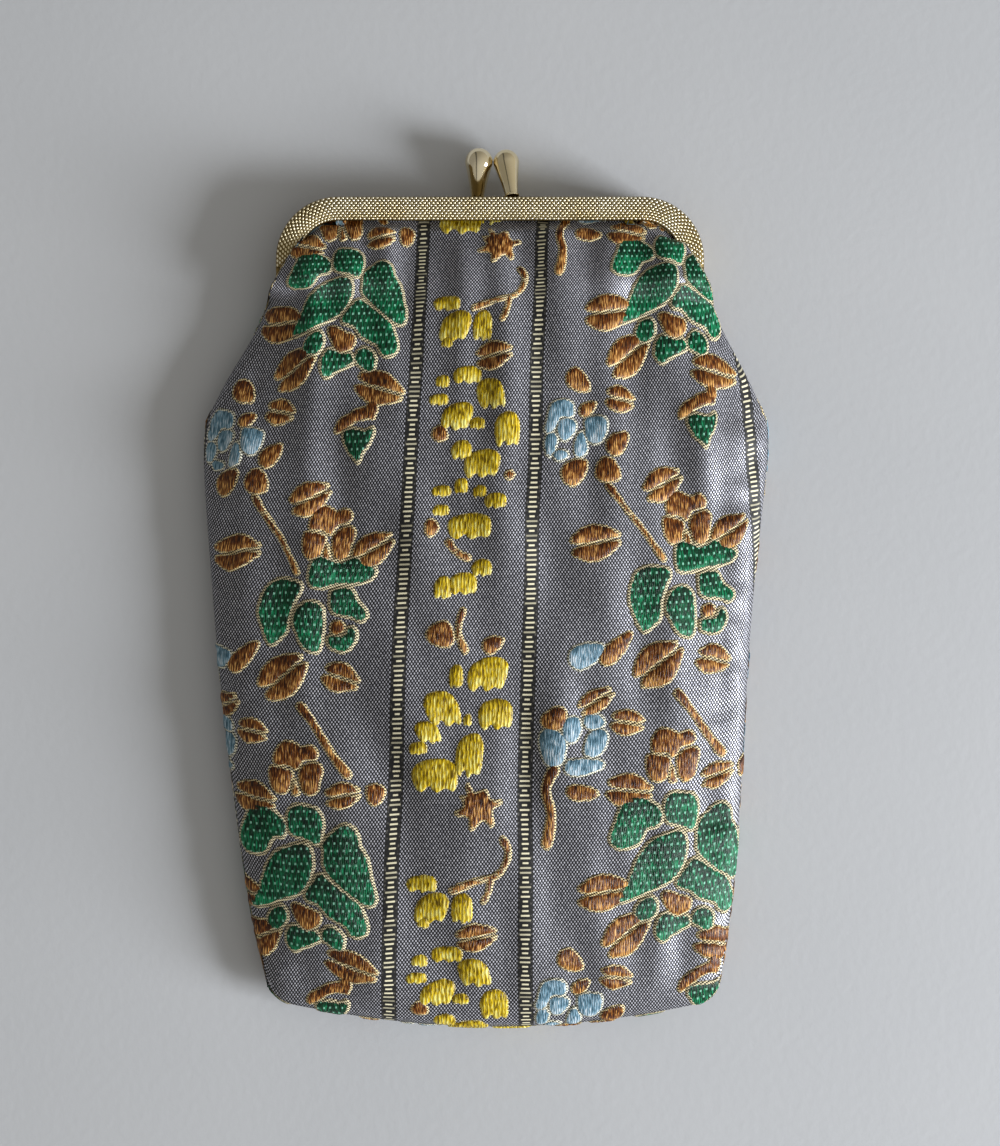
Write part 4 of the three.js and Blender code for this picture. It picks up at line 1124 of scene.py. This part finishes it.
# %% Layout of one repeat
LAYOUT = {
    "green": [
        (PEONY, (45.6, -5)), (BELLFLOWER, (45.7, -63)), (BUD, (51.4, -30.6)),
    ],
    "orange": [
        (PEONY_HEART, (45.6, -5)), (BELLFLOWER_HEART, (45.7, -63)), (BUD_CAP, (50.5, -27)),
        (ROSE, (47.2, -48.8)), (ROSE, (43.4, -95.7)), (leaf(12.8, 7.2, 3), (30.2, -7)),
        (leaf(12, 7.8, 32), (35, -15.8)), (leaf(13, 6.4, -18), (55.5, -20.5)),
        (leaf(10, 6.6, 25), (42, -41.7)), (leaf(11.7, 7, 8), (27, -52.6)),
        (leaf(10, 6.4, 28), (56.7, -52.2)), (leaf(12, 8.4, 38), (40, -77.2)),
        (leaf(8.7, 5.6, -20), (51.8, -77.5)), (leaf(8, 4.8, -12), (34, -88.5)),
        (leaf(8.5, 4.4, 30), (27.5, -83.8)), (leaf(10.4, 6.4, -10), (34.5, -102)),
        (leaf(8, 5, 8), (53, -100.8)), (fleck(4, 4.6, 20), (59.6, -100.6)),
        (fleck(6.5, 4.2, -35), (23.2, -20.6)), (leaf(8, 5, -12), (32.8, -24.5)),
        (fleck(4.6, 2.8, 30), (25.3, -26)), (fleck(6, 4.2, 40), (32, -33)),
        (fleck(6.6, 5, 35), (22.4, -38.3)), (fleck(6, 5, -30), (29.8, -38.6)),
        (fleck(4.8, 5.4, -60), (19.3, -87.3)), (fleck(7, 3.2, -8), (25.1, -101.9)),
        (fleck(8.8, 3.8, 43), (31.2, -73.6)), (fleck(4, 3, 80), (54.1, -24.2)),
        (stem([(29.4, -41.2), (33, -45.5), (36, -49.2), (39, -53.5), (41.4, -57)], 1.2), (0, 0)),
        (stem([(43.6, -82.8), (47, -87), (50.5, -92.4), (54.2, -97.2)], 1.5), (0, 0)),
        (stem([(19.6, -96.5), (17.8, -101), (18.8, -106), (17.8, -112.5)], 1.9), (0, 0)),
        (MAPLE, (3.9, -104)), (leaf(9, 5.4, 8), (3.8, -14.8)), (fleck(3.7, 3.4, -40), (-7.3, -30)),
        (fleck(2.4, 2), (8.2, -38.7)), (fleck(3.2, 3.6), (-8.1, -48.5)),
        (fleck(5.3, 6, 70), (-4.9, -69.4)), (fleck(4.9, 3.4, 20), (6.1, -71.9)),
        (stem([(8.6, -110), (10, -113.4), (8, -117.4), (3.4, -118.6), (-1.6, -120.4)], 1.3), (0, 0)),
        (stem([(6.4, -117.6), (6.2, -120.4), (5, -123)], 1.1), (0, 0)),
        (stem([(-4.8, -51), (-2.6, -53.4), (0.4, -55)], 1.2), (0, 0)),
        (stem([(-0.6, -64.6), (-1.4, -69), (0.4, -73.4)], 1.2), (0, 0)),
    ],
    "yellow": [
        (blossom(6.2, 3.4), (-7.4, -3.9)), (blossom(6.6, 6, 0.3), (-5.3, -8.8)),
        (blossom(4.2, 6.2), (0.8, -9)), (blossom(2.4, 2.4), (-6.9, -11.9)),
        (blossom(6.4, 3.4), (-2.1, -18.5)), (blossom(3.1, 2.6), (-7.5, -19.6)),
        (blossom(4.2, 2.4), (-8.1, -23.2)), (blossom(6.6, 5.6, 0.3), (-4, -26.7)),
        (blossom(6.2, 6.2, -0.2), (3.3, -22.5)), (blossom(3.3, 2.4), (0.6, -28.2)),
        (blossom(5.5, 7), (7.2, -29.8)), (blossom(4.4, 3.8), (-2.6, -33.4)),
        (blossom(7.7, 5.6, 0.2), (2, -36.3)), (blossom(4.3, 2.2), (-6.5, -41.3)),
        (blossom(2.9, 3.2), (-2.3, -40.5)), (blossom(3, 2.6), (1.8, -41.8)),
        (blossom(4.8, 3), (5.3, -43.7)), (blossom(3.7, 2.2), (-6.4, -45.1)),
        (blossom(9.5, 5), (-0.1, -48.5)), (blossom(4.3, 3.4), (2.9, -56.8)),
        (blossom(3.6, 4.6), (-5.1, -60.5)), (blossom(5.8, 4.4), (-0.9, -59.8)),
        (blossom(2.8, 5), (-1.5, -78.1)), (blossom(8.3, 6.6, 0.2), (5, -77.9)),
        (blossom(7.2, 7, -0.3), (-4.2, -84.4)), (blossom(7.2, 6), (6.9, -85.9)),
        (blossom(1.7, 2.6), (1.2, -86.8)), (blossom(4.9, 4.4, -0.4), (-7.1, -88.9)),
        (blossom(3.8, 2.6), (-9, -92)), (blossom(5.7, 8.6, 0.1), (1.7, -93.8)),
        (blossom(9.7, 6.6), (-5.4, -97.5)),
    ],
    "blue": [
        (FIRST_CAMPION, (22.6, -30)), (SECOND_CAMPION, (22.9, -92.8)),
        (fleck(7.4, 4.4, 22), (25.2, -74.6)),
    ],
}
print("drawings in one repeat:", {silk: len(places) for silk, places in LAYOUT.items()})

# %% [markdown]
# ## Raising a petal on the cloth
# A petal's outline is filled as one flat face in the cloth's own coordinates and cut by a lattice of
# lines, so that it has points inside. Each point is then laid on the cloth and lifted along its normal by
# its distance from the outline: the rim lies in the ground and the middle stands a third of a millimetre
# over it. A thin wall is added afterwards, so that each petal is a closed body. Cutting the flat face keeps
# its edge crisp, where displacing the cloth's own grid would blur it.

# %% Raised petals
PETAL_RISE = 0.36
PETAL_SHOULDER = 0.9  # the rise is full at this distance from the rim
PETAL_SUNK = 0.06  # how far the rim lies in the ground
PETAL_WALL = 0.12
# The lip lies outside the drawn outline
GROWTH = {"green": 0.5, "orange": 0.25, "yellow": 0.2, "blue": 0.55}
RAGGED = 0.16
LATTICE = (0.8, 0.9)


def closed_curve(points, step=0.6):
    """A smooth closed curve through points, with a new point about every step."""
    p = np.array(points, float)
    pieces = []
    for before, here, after, beyond in zip(np.roll(p, 1, 0), p, np.roll(p, -1, 0), np.roll(p, -2, 0)):
        chord = np.linalg.norm(after - here)
        count = max(1, round(chord / step))
        w = np.arange(count)[:, None] / count
        out = (after - before) / max(np.linalg.norm(after - before), 0.01) * chord
        into = (beyond - here) / max(np.linalg.norm(beyond - here), 0.01) * chord
        bend = (2 * here - 2 * after + out + into) * w + 3 * after - 3 * here - 2 * out - into
        pieces.append(bend * w * w + out * w + here)
    return np.concatenate(pieces)


def ragged(outline, growth, seed):
    """The outline grown by the lip, with the small steps of a woven edge."""
    way = np.roll(outline, -1, 0) - np.roll(outline, 1, 0)
    turning = np.sign((outline[:, 0] * way[:, 1] - outline[:, 1] * way[:, 0]).sum())
    side = turning * np.stack([way[:, 1], -way[:, 0]], 1)
    side /= np.maximum(np.linalg.norm(way, axis=1), 0.01)[:, None]
    step = np.array([noise.noise((x * 1.7, y * 1.7, seed)) for x, y in outline])
    return outline + side * (growth + RAGGED * step)[:, None]


def distance_to(outline, places):
    """Distance of each place from a closed outline."""
    start, end = outline, np.roll(outline, -1, 0)
    way = end - start
    along = ((places[:, None] - start) * way).sum(2) / np.maximum((way**2).sum(1), 1e-6)
    nearest = start + np.clip(along, 0, 1)[:, :, None] * way
    return np.linalg.norm(places[:, None] - nearest, axis=2).min(1)


def cut_lattice(bm):
    for axis, step in enumerate(LATTICE):
        reach = [vert.co[axis] for vert in bm.verts]
        for line in np.arange(math.ceil(min(reach) / step) * step, max(reach), step):
            place, across = [0, 0, 0], [0, 0, 0]
            place[axis], across[axis] = line, 1
            everything = bm.verts[:] + bm.edges[:] + bm.faces[:]
            bmesh.ops.bisect_plane(bm, geom=everything, dist=0.01, plane_co=place, plane_no=across)
    bmesh.ops.triangulate(bm, faces=[face for face in bm.faces if len(face.verts) > 4])


def raise_petal(whole, cloth, outline):
    """Adds one petal, laid on the cloth, to the bmesh of its silk."""
    flat = bmesh.new()
    face = flat.faces.new([flat.verts.new((s, t, 0)) for s, t in outline])
    face.normal_update()
    if face.normal.z < 0:
        face.normal_flip()
    cut_lattice(flat)
    places = np.array([vert.co[:2] for vert in flat.verts])
    rim = distance_to(outline, places)
    points, normals, free = cloth.at(*places.T)
    dome = 1 - (1 - np.minimum(1, rim / PETAL_SHOULDER)) ** 2.2
    rise = -PETAL_SUNK + (PETAL_RISE + PETAL_SUNK) * dome
    points = points + normals * np.where(rise > 0, rise * free, rise)[:, None]
    # The share down the petal is kept for the painted light at its lower end.
    top, bottom = places[:, 1].max(), places[:, 1].min()
    painted_light_down = (top - places[:, 1]) / (top - bottom)
    weave, petal = (whole.loops.layers.uv[name] for name in ("weave", "petal"))
    flat.verts.index_update()
    copies = [whole.verts.new(point * MM) for point in points]
    for face in flat.faces:
        numbers = [vert.index for vert in face.verts][::cloth.facing]
        made = whole.faces.new([copies[n] for n in numbers])
        for loop, n in zip(made.loops, numbers):
            loop[weave].uv = places[n]
            loop[petal].uv = (rim[n], painted_light_down[n])
    flat.free()


def raise_silk(name, cloth, silk, material):
    """All the petals of one silk that fall on a cloth, as one piece."""
    whole = bmesh.new()
    for layer in ("weave", "petal"):
        whole.loops.layers.uv.new(layer)
    count = 0
    for across in (-COLUMN - PANEL, 0, COLUMN + PANEL):
        for along in (REPEAT, 0, -REPEAT):
            for drawing, place in LAYOUT[silk]:
                for number, outline in enumerate(drawing):
                    middle = np.array(place) + (across, along)
                    curve = ragged(closed_curve(outline) + middle, GROWTH[silk], number + 0.5)
                    if cloth.holds(curve):
                        raise_petal(whole, cloth, curve)
                        count += 1
    bmesh.ops.dissolve_degenerate(whole, edges=whole.edges, dist=0.02 * MM)
    piece = new_piece(name, whole, material)
    wall = piece.modifiers.new("wall", "SOLIDIFY")
    wall.thickness = PETAL_WALL * MM
    wall.offset = -1
    apply_modifiers(piece)
    print(name, count, "petals,", len(piece.data.polygons), "faces")
    return piece


# %% [markdown]
# ## Silks
# A petal is satin: fine vertical threads, with painted light that makes it lighter towards its lower end.
# Round its rim runs a lip of cream threads that bind it, seen as small beads on brown. The petal's own UV
# map gives the distance from the rim and the way down, which sets the painted light, so one function makes
# every silk. The green has a lattice of mint stitches.

# %% Silk materials
def satin(name, dark, middle, light, thread, lip, lip_dark="1c1610", lip_light="f0e2b8", dots=None, gaps=0.6):
    graph = new_graph(name)
    place, s, t = graph.uv("weave")
    rim, painted_light_down = graph.uv("petal")[1:]
    streak = graph.noise(graph.stretched(place, (3.6, 0.55, 1)), 1.0, 3)
    patch = graph.noise(place, 0.3, 1)
    wander = (patch - 0.5) * 3
    strand = ((s + wander * 0.3 + streak * 0.9) * (2 * math.pi / thread)).sin() * 0.5 + 0.5
    # The share down the petal lightens its lower end as painted light; the streaks and patches are the silk's
    # own uneven tone.
    tone = painted_light_down * 0.5 + (streak - 0.5) * 3.2 + (patch - 0.5) * 0.8 + 0.2
    body = graph.mix(tone.ramp(0.0, 0.5), colour(dark), colour(middle))
    body = graph.mix(tone.ramp(0.45, 1.0), body, colour(light))
    body = graph.mix((1 - strand) * gaps, body, colour(dark))
    height = strand * 0.5
    if dots:
        row = t / 1.5
        stagger = (row.floor() * 0.5).fract()
        beside = ((s / 1.3 + stagger).fract() - 0.5).absolute() * 1.3
        above = (row.fract() - 0.5).absolute() * 1.5
        dot = beside.ramp(0.25, 0.14) * above.ramp(0.3, 0.16) * 0.85
        body = graph.mix(dot, body, colour(dots))
        height = height + dot * 0.5
    beads = (s * (math.pi / 0.44)).sin() * ((t + s * 0.4) * (math.pi / 0.3)).sin()
    ragged_rim = rim + (graph.noise(place, 1.6, 1) - 0.5) * 0.5
    edge = ragged_rim.ramp(lip + 0.08, lip - 0.08)
    binding = graph.mix(beads.ramp(-0.3, 0.35), colour(lip_dark), colour(lip_light))
    shade = graph.mix(edge, body, binding)
    graph.bump(mix(height, beads * 0.5 + 0.5, edge), 0.14, 0.8)
    return graph.finish(Base_Color=shade, Roughness=0.32 + edge * 0.25, Specular_IOR_Level=0.22)


SILKS = {
    "green": satin("green silk", "001c0e", "034527", "1a9c66", 0.42, 0.78, dots="8ccdb0", gaps=0.5),
    "orange": satin("orange silk", "2c1204", "7c420c", "f8bc6a", 0.5, 0.48, "1e1108", "fbe6b0"),
    "yellow": satin("yellow silk", "685206", "ecc914", "fffa96", 0.78, 0.2, "3a2e10", "f0e0a0", gaps=0.65),
    "blue": satin("blue silk", "3c5d6c", "83a8ba", "e6f2f8", 0.5, 0.56, "2c322c", "f4f0d8"),
}
flowers = {"front": [], "back": []}
for silk, material in SILKS.items():
    flowers["front"].append(raise_silk(f"front_{silk}_silk", front_cloth, silk, material))
    flowers["back"].append(raise_silk(f"back_{silk}_silk", back_cloth, silk, material))

# %% [markdown]
# ## The pieces of the pouch
# On the real purse the cloth in the front channel swings with the frame when it opens, and the cloth below
# the hinge stays: the full middle of the cloth starts to turn well below the hinge and folds down in one
# pleat, while the crease at its sides stays sewn to the back. Here each piece of the front only has its
# placement baked into its mesh and is not blended between the two bodies, and each piece of the back goes
# with the back half.


def bend(piece):
    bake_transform(piece)


for piece in (front, front_lining, *flowers["front"]):
    bend(piece)
for piece in (back, back_lining, *flowers["back"]):
    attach(piece, "back_half")
